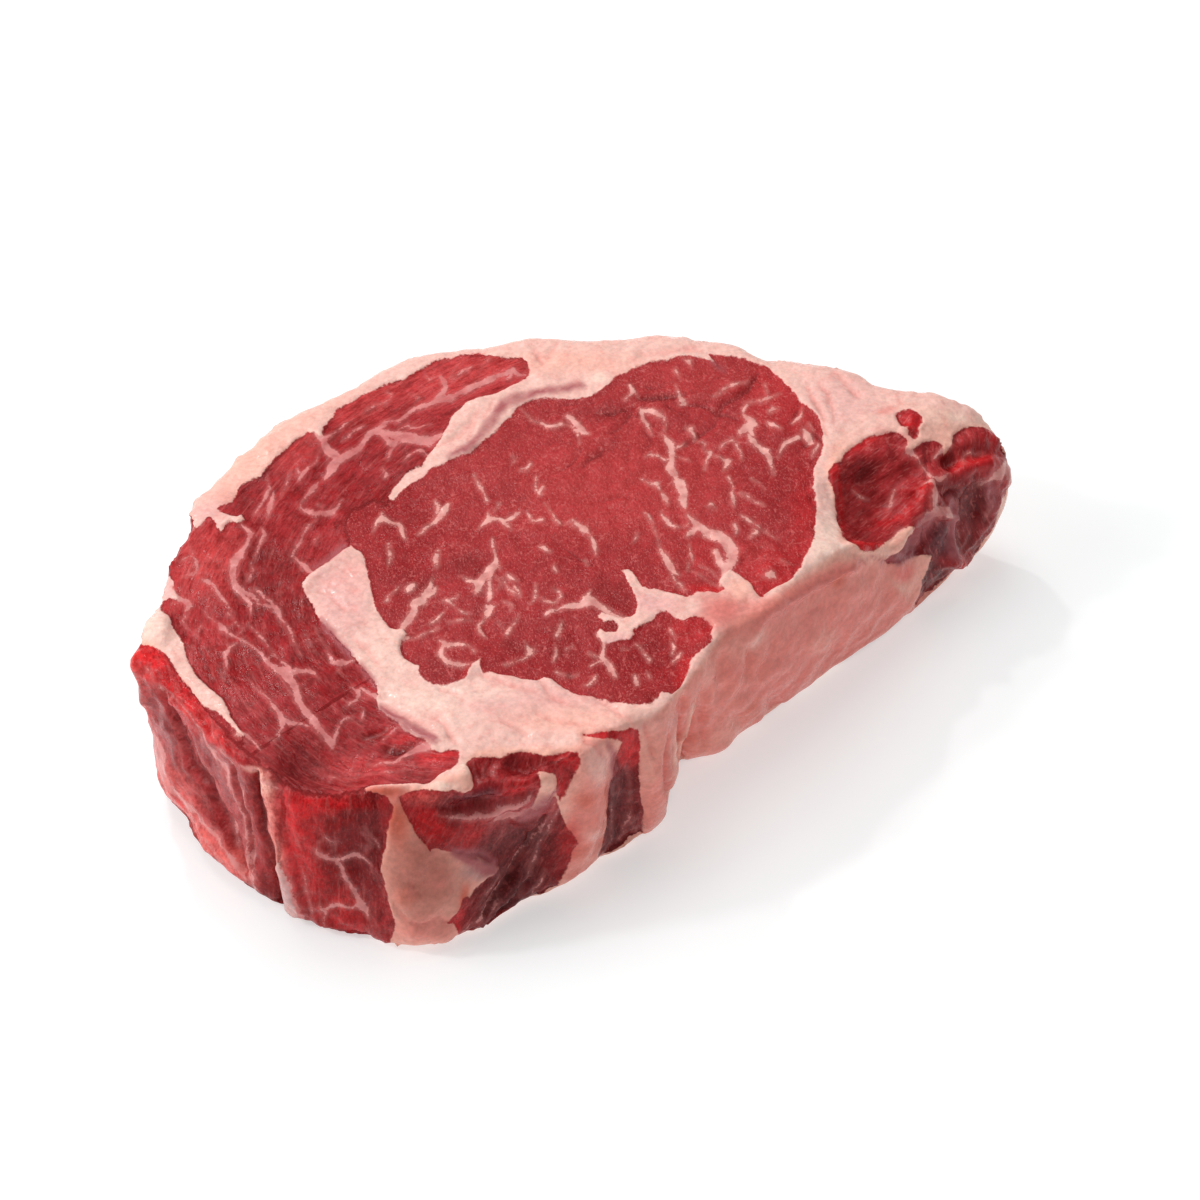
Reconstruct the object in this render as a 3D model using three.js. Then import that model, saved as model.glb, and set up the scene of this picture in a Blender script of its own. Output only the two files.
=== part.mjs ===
// A raw boneless ribeye steak: one thick slice cut straight across the rib muscle, lying on its cut face.
// It is one piece of meat, so it is one closed solid. The muscles, the fat and the marbling run through it.
// Millimetres, +Z up, +X along the steak's length. The origin is under the middle of its box, on the surface
// that it lies on.

import * as THREE from "three";

// Driving dimensions
const THICKNESS = 38; // a steak cut an inch and a half thick
const CUT_EDGE = 1.6; // how far the knife's edge is rounded over at the top
const FOOT_EDGE = 2.4; // and at the bottom, where the steak's own weight rounds it
const HEART = new THREE.Vector2(-6, -2); // the point in the eye of the meat that the rings of faces close in on

// Fineness
const AROUND = 192; // points round the rim
const EDGE_STEPS = 2;
const SIDE_STEPS = 9;
const FOOT_STEPS = 2;
const TOP_RINGS = [0.13, 0.26, 0.38, 0.5, 0.6, 0.7, 0.8, 0.88, 0.95]; // shares of the way out to the rim
const TOP_COUNTS = [24, 48, 48, 96, 96, 96, 96, 192, 192];
const FOOT_RINGS = [0.92, 0.78, 0.5, 0.2];
const FOOT_COUNTS = [96, 96, 48, 24];
const NORMAL_REACH = 5; // the rim's direction is read over this distance either way

// The rim of the cut face, anticlockwise from the tip of the flap at the left. Each row is x, y, how far the
// foot stands out beyond the rim, and how far the side swells between them.
const RIM = [
  [-89.5, 22, -1, 0.5],
  [-91.5, 12, -0.5, 0.5],
  [-92.5, 2, 0, 0.5],
  [-93, -14, 1, 0.5],
  [-91.5, -25, 1, 0.5],
  [-88, -33.5, 1.5, 0.5],
  [-82, -38, 5, 1],
  [-75, -42.5, 7, 1],
  [-69, -47, 6.5, 0],
  [-62, -52, 2.5, 0],
  [-55, -56, -0.5, 0],
  [-48, -57.5, -1.5, 0],
  [-35, -59.5, -2.5, 0.5],
  [-27, -60.5, -4, 1],
  [-20, -59.5, -4, 1],
  [-13, -57.5, -4, 0.5],
  [-8, -54.5, -4.5, 0.5],
  [-2, -54.5, -4, 1.5],
  [5, -53.5, -2, 2],
  [14, -52.5, -1.5, 2],
  [31, -52, -1, 2],
  [43, -51.5, -1, 1.5],
  [54, -51.5, -1, 1],
  [66, -51, -1.5, 1],
  [76, -50.5, -2.5, 1.5],
  [84, -50.5, -2.5, 3],
  [91.5, -47.5, -4.5, 4],
  [92, -42.5, -4, 3],
  [89, -36, -3, 2],
  [84.5, -29, -2, 2],
  [80, -21.5, -2, 2],
  [79, -12, -2, 2],
  [73, -3, -2, 2],
  [68.5, 3.5, -2, 2],
  [68, 12.5, -2.5, 2],
  [62, 19, -2, 2],
  [58.5, 25.5, -2, 2],
  [51, 31.5, -2, 2],
  [44.5, 35.5, -2, 2],
  [40, 41.5, -2, 2],
  [32.5, 46.5, -2, 2],
  [25.5, 49.5, -2, 2],
  [19.5, 54.5, -2, 2],
  [10.5, 58, -2, 2],
  [-4, 58.5, -2, 2],
  [-20, 60, -2, 2],
  [-31, 58, -2, 2],
  [-42, 55.5, -2, 1.5],
  [-51.5, 53, -2, 1],
  [-57.5, 46.5, -2, 1],
  [-64, 42.5, -2, 1],
  [-72, 36.5, -1.5, 1],
  [-79, 30.5, -1, 1],
  [-83.5, 28, -0.5, 0.5],
  [-86.5, 25, -1, 0.5],
];

// Rises and hollows of the cut face: middle x and y, reach along x and y, and height.
const FACE_RELIEF = [
  [8, -8, 42, 26, 0.9], // the eye of the meat stands a little proud
  [-70, 18, 14, 26, 0.5], // so does the cap
  [-81, -28, 9, 8, -2.4], // dished behind the front corner
  [-52, -2, 6, 18, 0.5], // the thick seam of fat
  [-68.5, -46.5, 3.2, 2.6, 2.2], // knob of fat on the front rim
  [-59, -52, 6, 4, -1.6], // small muscle shrunk back from the fat beside it
  [-12, -49, 12, 6, -0.8],
  [56, -42, 10, 5, -2.8], // hollow in the tail's muscle
  [72, -46, 6, 4, 1.4], // folded meat at the tail
  [62, -47, 3, 3, 1.2],
  [83, -44, 4, 4, 1.0],
];

// The tail hangs: the cut face falls away towards its front edge and its tip.
const TAIL_DROP = 8.5;
const TAIL_DROP_FROM = new THREE.Vector2(32, -34);
const TAIL_DROP_OVER = new THREE.Vector2(18, 16);

// Swells and hollows of the side: distance along the rim, height, reach along and up, and how far out.
const SIDE_RELIEF = [
  [14, 8, 12, 7, 1.2], // rolled lower edge of the left side
  [28, 6, 8, 6, 1.2],
  [20, 26, 7, 9, -1.0],
  [52, 20, 6, 14, 0.8], // red muscle round the front corner
  [72, 12, 7, 11, 1.6], // pad of fat at the front
  [76, 30, 6, 5, 1.2],
  [90, 16, 8, 10, -2.6], // bare meat drawn in below the lip
  [92, 33, 7, 3, 1.4], // the lip
  [107, 20, 3.5, 16, 1.2], // flap of fat
  [116, 18, 3, 16, -1.4], // bare strip of meat
  [125, 20, 4.5, 16, 1.2], // next flap of fat
  [142, 14, 3, 9, -1.8], // hollow at the step
  [146, 2, 4, 5, -1.5], // foot of the fat tucked in at the step
  [163, 18, 8, 12, 0.8],
  [184, 22, 9, 10, 0.6],
  [205, 12, 10, 8, 0.8],
  [214, 24, 5, 5, -1.6],
  [226, 9, 6, 6, 1.6], // lobe of bare meat under the tail
  [236, 22, 6, 6, -1.6],
];

// Creases that run down the side: distance along the rim at the top and at the foot, half width and depth.
const CREASES = [
  [41, 45, 1.6, 1.3],
  [65, 62, 2.0, 1.2],
  [83, 80, 1.8, 1.0],
  [100, 94, 2.2, 1.2],
  [113, 112, 1.5, 1.3],
  [121, 122, 1.6, 1.2],
  [131, 137, 1.8, 1.5],
  [139, 146, 1.8, 1.4],
  [156, 160, 2.2, 0.8],
];

const smoothStep = (x) => THREE.MathUtils.smoothstep(x, 0, 1);
const bell = (x) => Math.exp(-x * x);

const rimCurve = new THREE.CatmullRomCurve3(
  RIM.map(([x, y]) => new THREE.Vector3(x, y, 0)),
  true,
  "centripetal",
);
const sideCurve = new THREE.CatmullRomCurve3(
  RIM.map(([, , flare, swell]) => new THREE.Vector3(flare, swell, 0)),
  true,
  "centripetal",
);
rimCurve.arcLengthDivisions = 4000;
const rimLength = rimCurve.getLength();

// Height of the cut face above the table.
function faceHeight(x, y) {
  const tail =
    TAIL_DROP *
    smoothStep((TAIL_DROP_FROM.y - y) / TAIL_DROP_OVER.y) *
    smoothStep((x - TAIL_DROP_FROM.x) / TAIL_DROP_OVER.x);
  const relief = FACE_RELIEF.reduce(
    (sum, [cx, cy, rx, ry, rise]) =>
      sum + rise * bell((x - cx) / rx) * bell((y - cy) / ry),
    0,
  );
  const waves =
    0.25 * Math.sin(x / 7 + y / 11) + 0.2 * Math.sin(x / 13 - y / 6);
  return THICKNESS - tail + relief + waves;
}

// How far the side stands out at a distance along the rim and a height, beyond its plain shape.
function sideRelief(along, z) {
  const swells = SIDE_RELIEF.reduce(
    (sum, [at, height, reach, up, out]) =>
      sum + out * bell((along - at) / reach) * bell((z - height) / up),
    0,
  );
  const down = 1 - z / THICKNESS;
  const creases = CREASES.reduce((sum, [top, foot, half, depth]) => {
    const at = THREE.MathUtils.lerp(top, foot, down);
    return sum - depth * bell((along - at) / half);
  }, 0);
  const ripple = 0.3 * Math.sin(along / 2.9 + z / 15) * Math.sin(along / 17);
  return swells + creases + ripple;
}

// Everything that a point of the rim needs: its place, the way out from it and the side below it.
function rimStation(index) {
  const share = index / AROUND;
  const at = (u) => rimCurve.getPoint(rimCurve.getUtoTmapping((u + 1) % 1));
  const reach = NORMAL_REACH / rimLength;
  const along = at(share + reach).sub(at(share - reach));
  const side = sideCurve.getPoint(rimCurve.getUtoTmapping(share));
  return {
    place: at(share),
    out: new THREE.Vector3(along.y, -along.x, 0).normalize(),
    along: share * rimLength,
    flare: side.x,
    swell: side.y,
  };
}

const stations = Array.from({ length: AROUND }, (_, i) => rimStation(i));

// A point out from the rim by a distance, at a height.
function outFromRim(station, distance, z) {
  return station.place
    .clone()
    .addScaledVector(station.out, distance)
    .setZ(z);
}

function edgeRing(step) {
  const turn = (step / EDGE_STEPS) * (Math.PI / 2);
  return stations.map((station) => {
    const top = faceHeight(station.place.x, station.place.y);
    const z = top - CUT_EDGE * (1 - Math.cos(turn));
    const relief = sideRelief(station.along, z) * Math.sin(turn);
    return outFromRim(station, relief - CUT_EDGE * (1 - Math.sin(turn)), z);
  });
}

function sideRing(step) {
  const share = step / SIDE_STEPS;
  return stations.map((station) => {
    const top = faceHeight(station.place.x, station.place.y) - CUT_EDGE;
    const z = THREE.MathUtils.lerp(top, FOOT_EDGE, share);
    const plain = station.flare * share + station.swell * Math.sin(Math.PI * share);
    return outFromRim(station, plain + sideRelief(station.along, z), z);
  });
}

function footRing(step) {
  const turn = (step / FOOT_STEPS) * (Math.PI / 2);
  const z = FOOT_EDGE * (1 - Math.sin(turn));
  return stations.map((station) => {
    const out = station.flare + sideRelief(station.along, z);
    return outFromRim(station, out - FOOT_EDGE * (1 - Math.cos(turn)), z);
  });
}

// A ring of the given number of points, drawn in from an outer ring towards the heart.
function innerRing(outer, share, count, height) {
  const skip = AROUND / count;
  return Array.from({ length: count }, (_, i) => {
    const far = outer[i * skip];
    const x = THREE.MathUtils.lerp(HEART.x, far.x, share);
    const y = THREE.MathUtils.lerp(HEART.y, far.y, share);
    return new THREE.Vector3(x, y, height(x, y));
  });
}

function allRings() {
  const cutRim = edgeRing(0);
  const footRim = footRing(FOOT_STEPS);
  const flat = () => 0;
  const rings = TOP_RINGS.map((share, i) =>
    innerRing(cutRim, share, TOP_COUNTS[i], faceHeight),
  );
  rings.push(cutRim);
  for (let i = 1; i <= EDGE_STEPS; i++) rings.push(edgeRing(i));
  for (let i = 1; i <= SIDE_STEPS; i++) rings.push(sideRing(i));
  for (let i = 1; i <= FOOT_STEPS; i++) rings.push(footRing(i));
  FOOT_RINGS.forEach((share, i) =>
    rings.push(innerRing(footRim, share, FOOT_COUNTS[i], flat)),
  );
  return rings;
}

// Triangles between two rings, each a first index and a count. One may have twice the other's points.
function strip(a, b) {
  const faces = [];
  const n = Math.min(a.count, b.count);
  const stepA = a.count / n;
  const stepB = b.count / n;
  const A = (i) => a.first + (i % a.count);
  const B = (i) => b.first + (i % b.count);
  for (let i = 0; i < n; i++) {
    const a0 = stepA * i;
    const b0 = stepB * i;
    if (stepA === 2) {
      faces.push(A(a0), B(b0), A(a0 + 1));
      faces.push(A(a0 + 1), B(b0), B(b0 + 1));
      faces.push(A(a0 + 1), B(b0 + 1), A(a0 + 2));
    } else if (stepB === 2) {
      faces.push(A(a0), B(b0), B(b0 + 1));
      faces.push(A(a0), B(b0 + 1), A(a0 + 1));
      faces.push(A(a0 + 1), B(b0 + 1), B(b0 + 2));
    } else {
      faces.push(A(a0), B(b0), B(b0 + 1));
      faces.push(A(a0), B(b0 + 1), A(a0 + 1));
    }
  }
  return faces;
}

function steakGeometry() {
  const rings = allRings();
  const points = [];
  const spans = rings.map((ring) => {
    const span = { first: points.length, count: ring.length };
    points.push(...ring);
    return span;
  });
  const topMiddle = points.length;
  points.push(new THREE.Vector3(HEART.x, HEART.y, faceHeight(HEART.x, HEART.y)));
  const footMiddle = points.length;
  points.push(new THREE.Vector3(HEART.x, HEART.y, 0));

  const faces = [];
  const first = spans[0];
  for (let i = 0; i < first.count; i++)
    faces.push(topMiddle, first.first + i, first.first + ((i + 1) % first.count));
  for (let i = 1; i < spans.length; i++) faces.push(...strip(spans[i - 1], spans[i]));
  const last = spans[spans.length - 1];
  for (let i = 0; i < last.count; i++)
    faces.push(footMiddle, last.first + ((i + 1) % last.count), last.first + i);

  const geometry = new THREE.BufferGeometry().setFromPoints(points);
  geometry.setIndex(faces);
  geometry.computeBoundingBox();
  const middle = geometry.boundingBox.getCenter(new THREE.Vector3());
  geometry.translate(-middle.x, -middle.y, 0);
  geometry.computeVertexNormals();
  return geometry;
}

const rawMeat = new THREE.MeshStandardMaterial({
  color: new THREE.Color(0.62, 0.13, 0.12),
  roughness: 0.45,
  metalness: 0,
});

const steak = new THREE.Mesh(steakGeometry(), rawMeat);
steak.name = "steak";

const group = new THREE.Group();
group.add(steak);

export default group;
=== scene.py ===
"""A raw boneless ribeye steak on a pale studio floor.

The steak is one closed skin. It starts as a copy of the solid, is made fine where it shows, and is
then modelled: lumps, creases, lips and fibres are moved into its vertices. What faces the camera
is drawn as it is seen from there, in pixels of the camera's frame. The underside shows the
upper face's muscles, read straight through the steak, and the hidden side is fat with lean showing
through. Each vertex keeps how far it lies inside the fat, and the material turns that into crisp edges.

Lengths are in millimetres until a mesh is written. Places on the steak are in the drawing's frame,
whose origin is a little off the steak's.
"""

import logging
import math
from collections.abc import Callable
from dataclasses import dataclass, field, fields, replace
from enum import Enum

import bpy
import numpy as np
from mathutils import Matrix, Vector


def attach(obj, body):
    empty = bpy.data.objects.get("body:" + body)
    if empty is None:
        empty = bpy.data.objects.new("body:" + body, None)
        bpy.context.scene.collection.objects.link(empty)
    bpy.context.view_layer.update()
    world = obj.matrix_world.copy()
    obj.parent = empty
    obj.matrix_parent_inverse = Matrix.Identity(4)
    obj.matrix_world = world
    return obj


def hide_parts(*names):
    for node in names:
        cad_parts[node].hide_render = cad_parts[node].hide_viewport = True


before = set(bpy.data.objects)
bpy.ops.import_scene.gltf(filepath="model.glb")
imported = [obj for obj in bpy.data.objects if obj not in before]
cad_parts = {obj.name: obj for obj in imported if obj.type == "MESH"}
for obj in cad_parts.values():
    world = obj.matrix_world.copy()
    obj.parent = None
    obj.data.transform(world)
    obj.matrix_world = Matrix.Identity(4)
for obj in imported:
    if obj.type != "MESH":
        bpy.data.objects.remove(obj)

log = logging.getLogger("steak")

MM = 0.001
DRAWN_MIDDLE = np.array([-0.685, -0.188, 0.0])  # the steak's origin in the drawing's frame
THICKNESS = 38.0
FAR = 9.0  # the distance kept where no stroke is near
NEARBY = 6.0  # how far from a stroke it is still measured
ELSEWHERE = (9.0, 4.0, 0.0)  # moves a pattern off another of the same size

Places = tuple[tuple[float, float], ...]
Stroke = tuple[tuple[float, float, float], ...]  # a line's places, each with the line's width there
Array = np.ndarray
Node = bpy.types.Node
Socket = bpy.types.NodeSocket
Piece = bpy.types.Object


class Tint(Enum):
    """The colours of the meat and its fat, as red, green and blue out of 255."""

    EYE = (168, 44, 47)
    CAP = (148, 21, 26)
    DEEP = (120, 18, 20)
    RAW = (206, 30, 34)
    # a brighter red; along the back of the cap it is painted light
    GLOW = (196, 58, 58)
    CORAL = (222, 84, 78)
    CRIMSON = (132, 12, 14)
    BLOOD = (92, 10, 12)
    MAROON = (104, 28, 30)
    PLUM = (88, 36, 44)
    DUSK = (164, 52, 54)
    VEIN = (243, 180, 170)
    SEAM = (222, 140, 137)
    THREAD = (220, 116, 112)
    BLUSH = (238, 180, 174)
    CREAM = (246, 196, 184)
    PEACH = (252, 188, 170)
    IVORY = (253, 218, 202)
    SALMON = (233, 132, 121)
    FLUSH = (220, 118, 110)
    STAIN = (214, 98, 76)
    ROSE = (230, 122, 116)
    WAX = (194, 116, 102)
    GORE = (150, 4, 8)
    MAUVE = (172, 88, 92)
    SLATE = (120, 96, 110)
    SILVER = (200, 158, 158)

    @property
    def linear(self) -> Array:
        """The tint in linear light."""
        share = np.array(self.value) / 255
        return np.where(share <= 0.04045, share / 12.92, ((share + 0.055) / 1.055) ** 2.4)


@dataclass(frozen=True)
class Spot:
    """A soft oval: its middle, its reach each way, its strength and its turn."""

    x: float
    y: float
    across: float
    up: float
    strength: float = 0.8
    turn: float = 0.0

    def share(self, x: Array, y: Array) -> Array:
        """How strongly the spot covers each place, from 0 to 1."""
        c, s = math.cos(math.radians(self.turn)), math.sin(math.radians(self.turn))
        u = ((x - self.x) * c + (y - self.y) * s) / self.across
        v = (-(x - self.x) * s + (y - self.y) * c) / self.up
        return self.strength * np.exp(-((u * u + v * v) ** 1.5))


LONG_RIM = (  # spots of the swollen rim of the long fat edge, which the cut face and the front share
    (745, 624, 16, 7, 0.7, -52), (770, 604, 20, 8, 1.0, -38), (800, 586, 20, 8, 1.1, -32),
    (830, 569, 20, 8, 1.1, -30), (857, 558, 18, 8, 0.9, -22),
)


@dataclass(frozen=True)
class Dab:
    """A soft oval of colour."""

    x: float
    y: float
    across: float
    up: float
    tint: Tint
    strength: float = 0.8
    turn: float = 0.0

    def share(self, x: Array, y: Array) -> Array:
        """How strongly the dab covers each place, from 0 to 1."""
        return Spot(self.x, self.y, self.across, self.up, self.strength, self.turn).share(x, y)


def outline(*row: float) -> Places:
    """An outline from x, y, x, y and so on."""
    return tuple(zip(row[::2], row[1::2]))


def outlines(*rows: tuple[float, ...]) -> tuple[Places, ...]:
    """Outlines from rows of x, y, x, y and so on."""
    return tuple(outline(*row) for row in rows)


def spots(*rows: tuple[float, ...]) -> tuple[Spot, ...]:
    """Spots from rows of their values."""
    return tuple(Spot(*row) for row in rows)


def dabs(*rows: tuple) -> tuple[Dab, ...]:
    """Dabs from rows of their values."""
    return tuple(Dab(*row) for row in rows)


def strokes(*rows: tuple[float, ...]) -> tuple[Stroke, ...]:
    """Strokes from rows of x, y, width, x, y, width and so on."""
    return tuple(tuple(zip(row[::3], row[1::3], row[2::3])) for row in rows)


def soft_step(value: Array, low: float, high: float) -> Array:
    """0 below low, 1 above high and smooth between."""
    t = np.clip((value - low) / (high - low), 0, 1)
    return t * t * (3 - 2 * t)


class Noise:
    """Smooth repeatable noise from -1 to 1, over places of two or three coordinates."""

    SIDE = 32

    def __init__(self, seed: int) -> None:
        """Args: seed: what sets this noise apart from the others."""
        shape = (self.SIDE,) * 3
        self.lattice = np.random.default_rng(seed).uniform(-1, 1, shape)

    def at(self, places: Array, size: float | tuple[float, ...]) -> Array:
        """Reads the noise.

        Args:
            places: coordinates, one row a place.
            size: the width of its lumps, the same each way or one for each coordinate.

        Returns:
            One value a place.
        """
        p = np.zeros((len(places), 3))
        p[:, : places.shape[1]] = places / np.asarray(size, float)
        cell = np.floor(p).astype(int)
        f = p - cell
        f = f * f * (3 - 2 * f)
        low, high = cell % self.SIDE, (cell + 1) % self.SIDE
        total = np.zeros(len(p))
        for corner in range(8):
            pick = [(corner >> k) & 1 for k in range(3)]
            index = [high[:, k] if pick[k] else low[:, k] for k in range(3)]
            weight = np.prod([f[:, k] if pick[k] else 1 - f[:, k] for k in range(3)], axis=0)
            total += weight * self.lattice[index[0], index[1], index[2]]
        return total

    def layered(self, places: Array, size: float, layers: int = 3) -> Array:
        """Noise with finer and fainter noise on it.

        Args:
            places: coordinates, one row a place.
            size: the width of the widest lumps.
            layers: how many sizes of lumps, each half the last.

        Returns:
            One value a place.
        """
        total = np.zeros(len(places))
        for layer in range(layers):
            total += self.at(places + 17.3 * layer, size / 2**layer) / 2**layer
        return total


def line_distance(x: Array, y: Array, a: tuple, b: tuple) -> tuple[Array, Array]:
    """Measures places against a straight stretch.

    Args:
        x, y: places across and down.
        a: where the stretch starts.
        b: where it ends.

    Returns:
        The distance to it, and how far along it the nearest point lies, from 0 to 1.
    """
    dx, dy = b[0] - a[0], b[1] - a[1]
    along = ((x - a[0]) * dx + (y - a[1]) * dy) / max(dx * dx + dy * dy, 1e-9)
    along = np.clip(along, 0, 1)
    return np.hypot(x - a[0] - along * dx, y - a[1] - along * dy), along


def inside_distance(x: Array, y: Array, corners: Places) -> Array:
    """Measures places against a closed outline.

    Args:
        x, y: places across and down.
        corners: its corners.

    Returns:
        How far inside it each place lies, less than nothing where it lies outside.
    """
    nearest = np.full(len(x), 1e9)
    inside = np.zeros(len(x), bool)
    for a, b in zip(corners, corners[1:] + corners[:1]):
        nearest = np.minimum(nearest, line_distance(x, y, a, b)[0])
        crosses = (a[1] > y) != (b[1] > y)
        if a[1] != b[1]:
            inside ^= crosses & (x < (b[0] - a[0]) * (y - a[1]) / (b[1] - a[1]) + a[0])
    return np.where(inside, nearest, -nearest)


def stroke_depth(x: Array, y: Array, drawn: tuple[Stroke, ...]) -> Array:
    """Measures places against some strokes.

    Args:
        x, y: places across and down.
        drawn: the strokes.

    Returns:
        How far inside the nearest stroke each place lies, less than nothing outside them.
    """
    depth = np.full(len(x), -FAR)
    for stroke in drawn:
        for a, b in zip(stroke, stroke[1:]):
            reach = max(a[2], b[2]) + NEARBY
            near = (x > min(a[0], b[0]) - reach) & (x < max(a[0], b[0]) + reach)
            near &= (y > min(a[1], b[1]) - reach) & (y < max(a[1], b[1]) + reach)
            if not near.any():
                continue
            distance, along = line_distance(x[near], y[near], a, b)
            depth[near] = np.maximum(depth[near], (a[2] + (b[2] - a[2]) * along) / 2 - distance)
    return depth


def most(x: Array, y: Array, ovals: tuple[Spot, ...]) -> Array:
    """The strongest share of some soft ovals at each place."""
    return np.max([oval.share(x, y) for oval in ovals], axis=0)


@dataclass(frozen=True)
class Lump:
    """One layer of relief: how high and how wide its lumps are, in mm, and where its noise starts."""

    height: float
    size: float
    start: float = 0.0


@dataclass(frozen=True)
class Pattern:
    """What the skin shows at each vertex."""

    fat: Array  # mm inside the fat
    vein: Array  # mm inside the marbling
    fold: Array  # mm inside a drawn fold, where the material paints shade
    lean_tint: Array
    fat_tint: Array
    silver: Array  # share of silver skin
    streaks: Array  # share of long pale fibres
    wet: Array  # share of standing juice
    crag: Array  # share of rough, torn relief
    fibre: Array  # mm along and across the fibres

    def blend(self, other: "Pattern", share: Array) -> "Pattern":
        """Mixes two patterns.

        Args:
            other: the second pattern.
            share: how much of it shows at each vertex, from 0 to 1.

        Returns:
            The mixture.
        """

        def mixed(a: Array, b: Array) -> Array:
            """One field of both patterns, mixed."""
            s = share if a.ndim == 1 else share[:, None]
            return a * (1 - s) + b * s

        names = [f.name for f in fields(self) if f.name != "fibre"]
        made = {n: mixed(getattr(self, n), getattr(other, n)) for n in names}
        fibre = np.where(share[:, None] < 0.5, self.fibre, other.fibre)
        return Pattern(fibre=fibre, **made)

    def laid(self, share: Array, read: Callable[[Array], "Pattern"]) -> "Pattern":
        """Lays another pattern over this one.

        Args:
            share: how strongly the other shows at each vertex.
            read: works the other out for the rows that it is given.

        Returns:
            Both together.
        """
        rows = np.flatnonzero(share > 0)
        under = Pattern(**{f.name: getattr(self, f.name)[rows] for f in fields(self)})
        both = under.blend(read(rows), share[rows])
        made = {f.name: getattr(self, f.name).copy() for f in fields(self)}
        for name, values in made.items():
            values[rows] = getattr(both, name)
        return Pattern(**made)


def paint(start: Array, x: Array, y: Array, touches: tuple[Dab, ...]) -> Array:
    """Lays dabs of colour over a starting colour, in order.

    Args:
        start: the colour at each place.
        x, y: places across and down.
        touches: the dabs.

    Returns:
        The colour at each place.
    """
    colour = start.copy()
    for dab in touches:
        share = dab.share(x, y)[:, None]
        colour = colour * (1 - share) + dab.tint.linear * share
    return colour


@dataclass(frozen=True)
class Sight:
    """How the camera stands, and where it sees things."""

    eye: tuple[float, float, float] = (-305.3, -332.2, 417.2)
    aim: tuple[float, float, float] = (-12.8, -29.3, 38.0)
    lens: float = 85.0
    sensor: float = 36.0
    frame_size: float = 1200.0

    def axes(self) -> tuple[Array, Array, Array]:
        """Works out where its sides are.

        Returns:
            The directions to its right, up and ahead.
        """
        ahead = np.subtract(self.aim, self.eye)
        ahead /= np.linalg.norm(ahead)
        right = np.cross(ahead, (0, 0, 1))
        right /= np.linalg.norm(right)
        return right, np.cross(right, ahead), ahead

    def seen(self, place: Array) -> tuple[Array, Array]:
        """Finds places in the camera's frame.

        Args:
            place: places, in mm from the steak's origin.

        Returns:
            The pixels across the frame, and down it.
        """
        right, up, ahead = self.axes()
        gap = place - self.eye
        zoom = self.frame_size * self.lens / self.sensor / (gap @ ahead)
        middle = self.frame_size / 2
        return middle + gap @ right * zoom, middle - gap @ up * zoom

    def faced(self, place: Array, normal: Array) -> Array:
        """How squarely the skin looks at the camera, from -1 to 1."""
        gap = self.eye - place
        return (gap * normal).sum(1) / np.linalg.norm(gap, axis=1)


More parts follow.
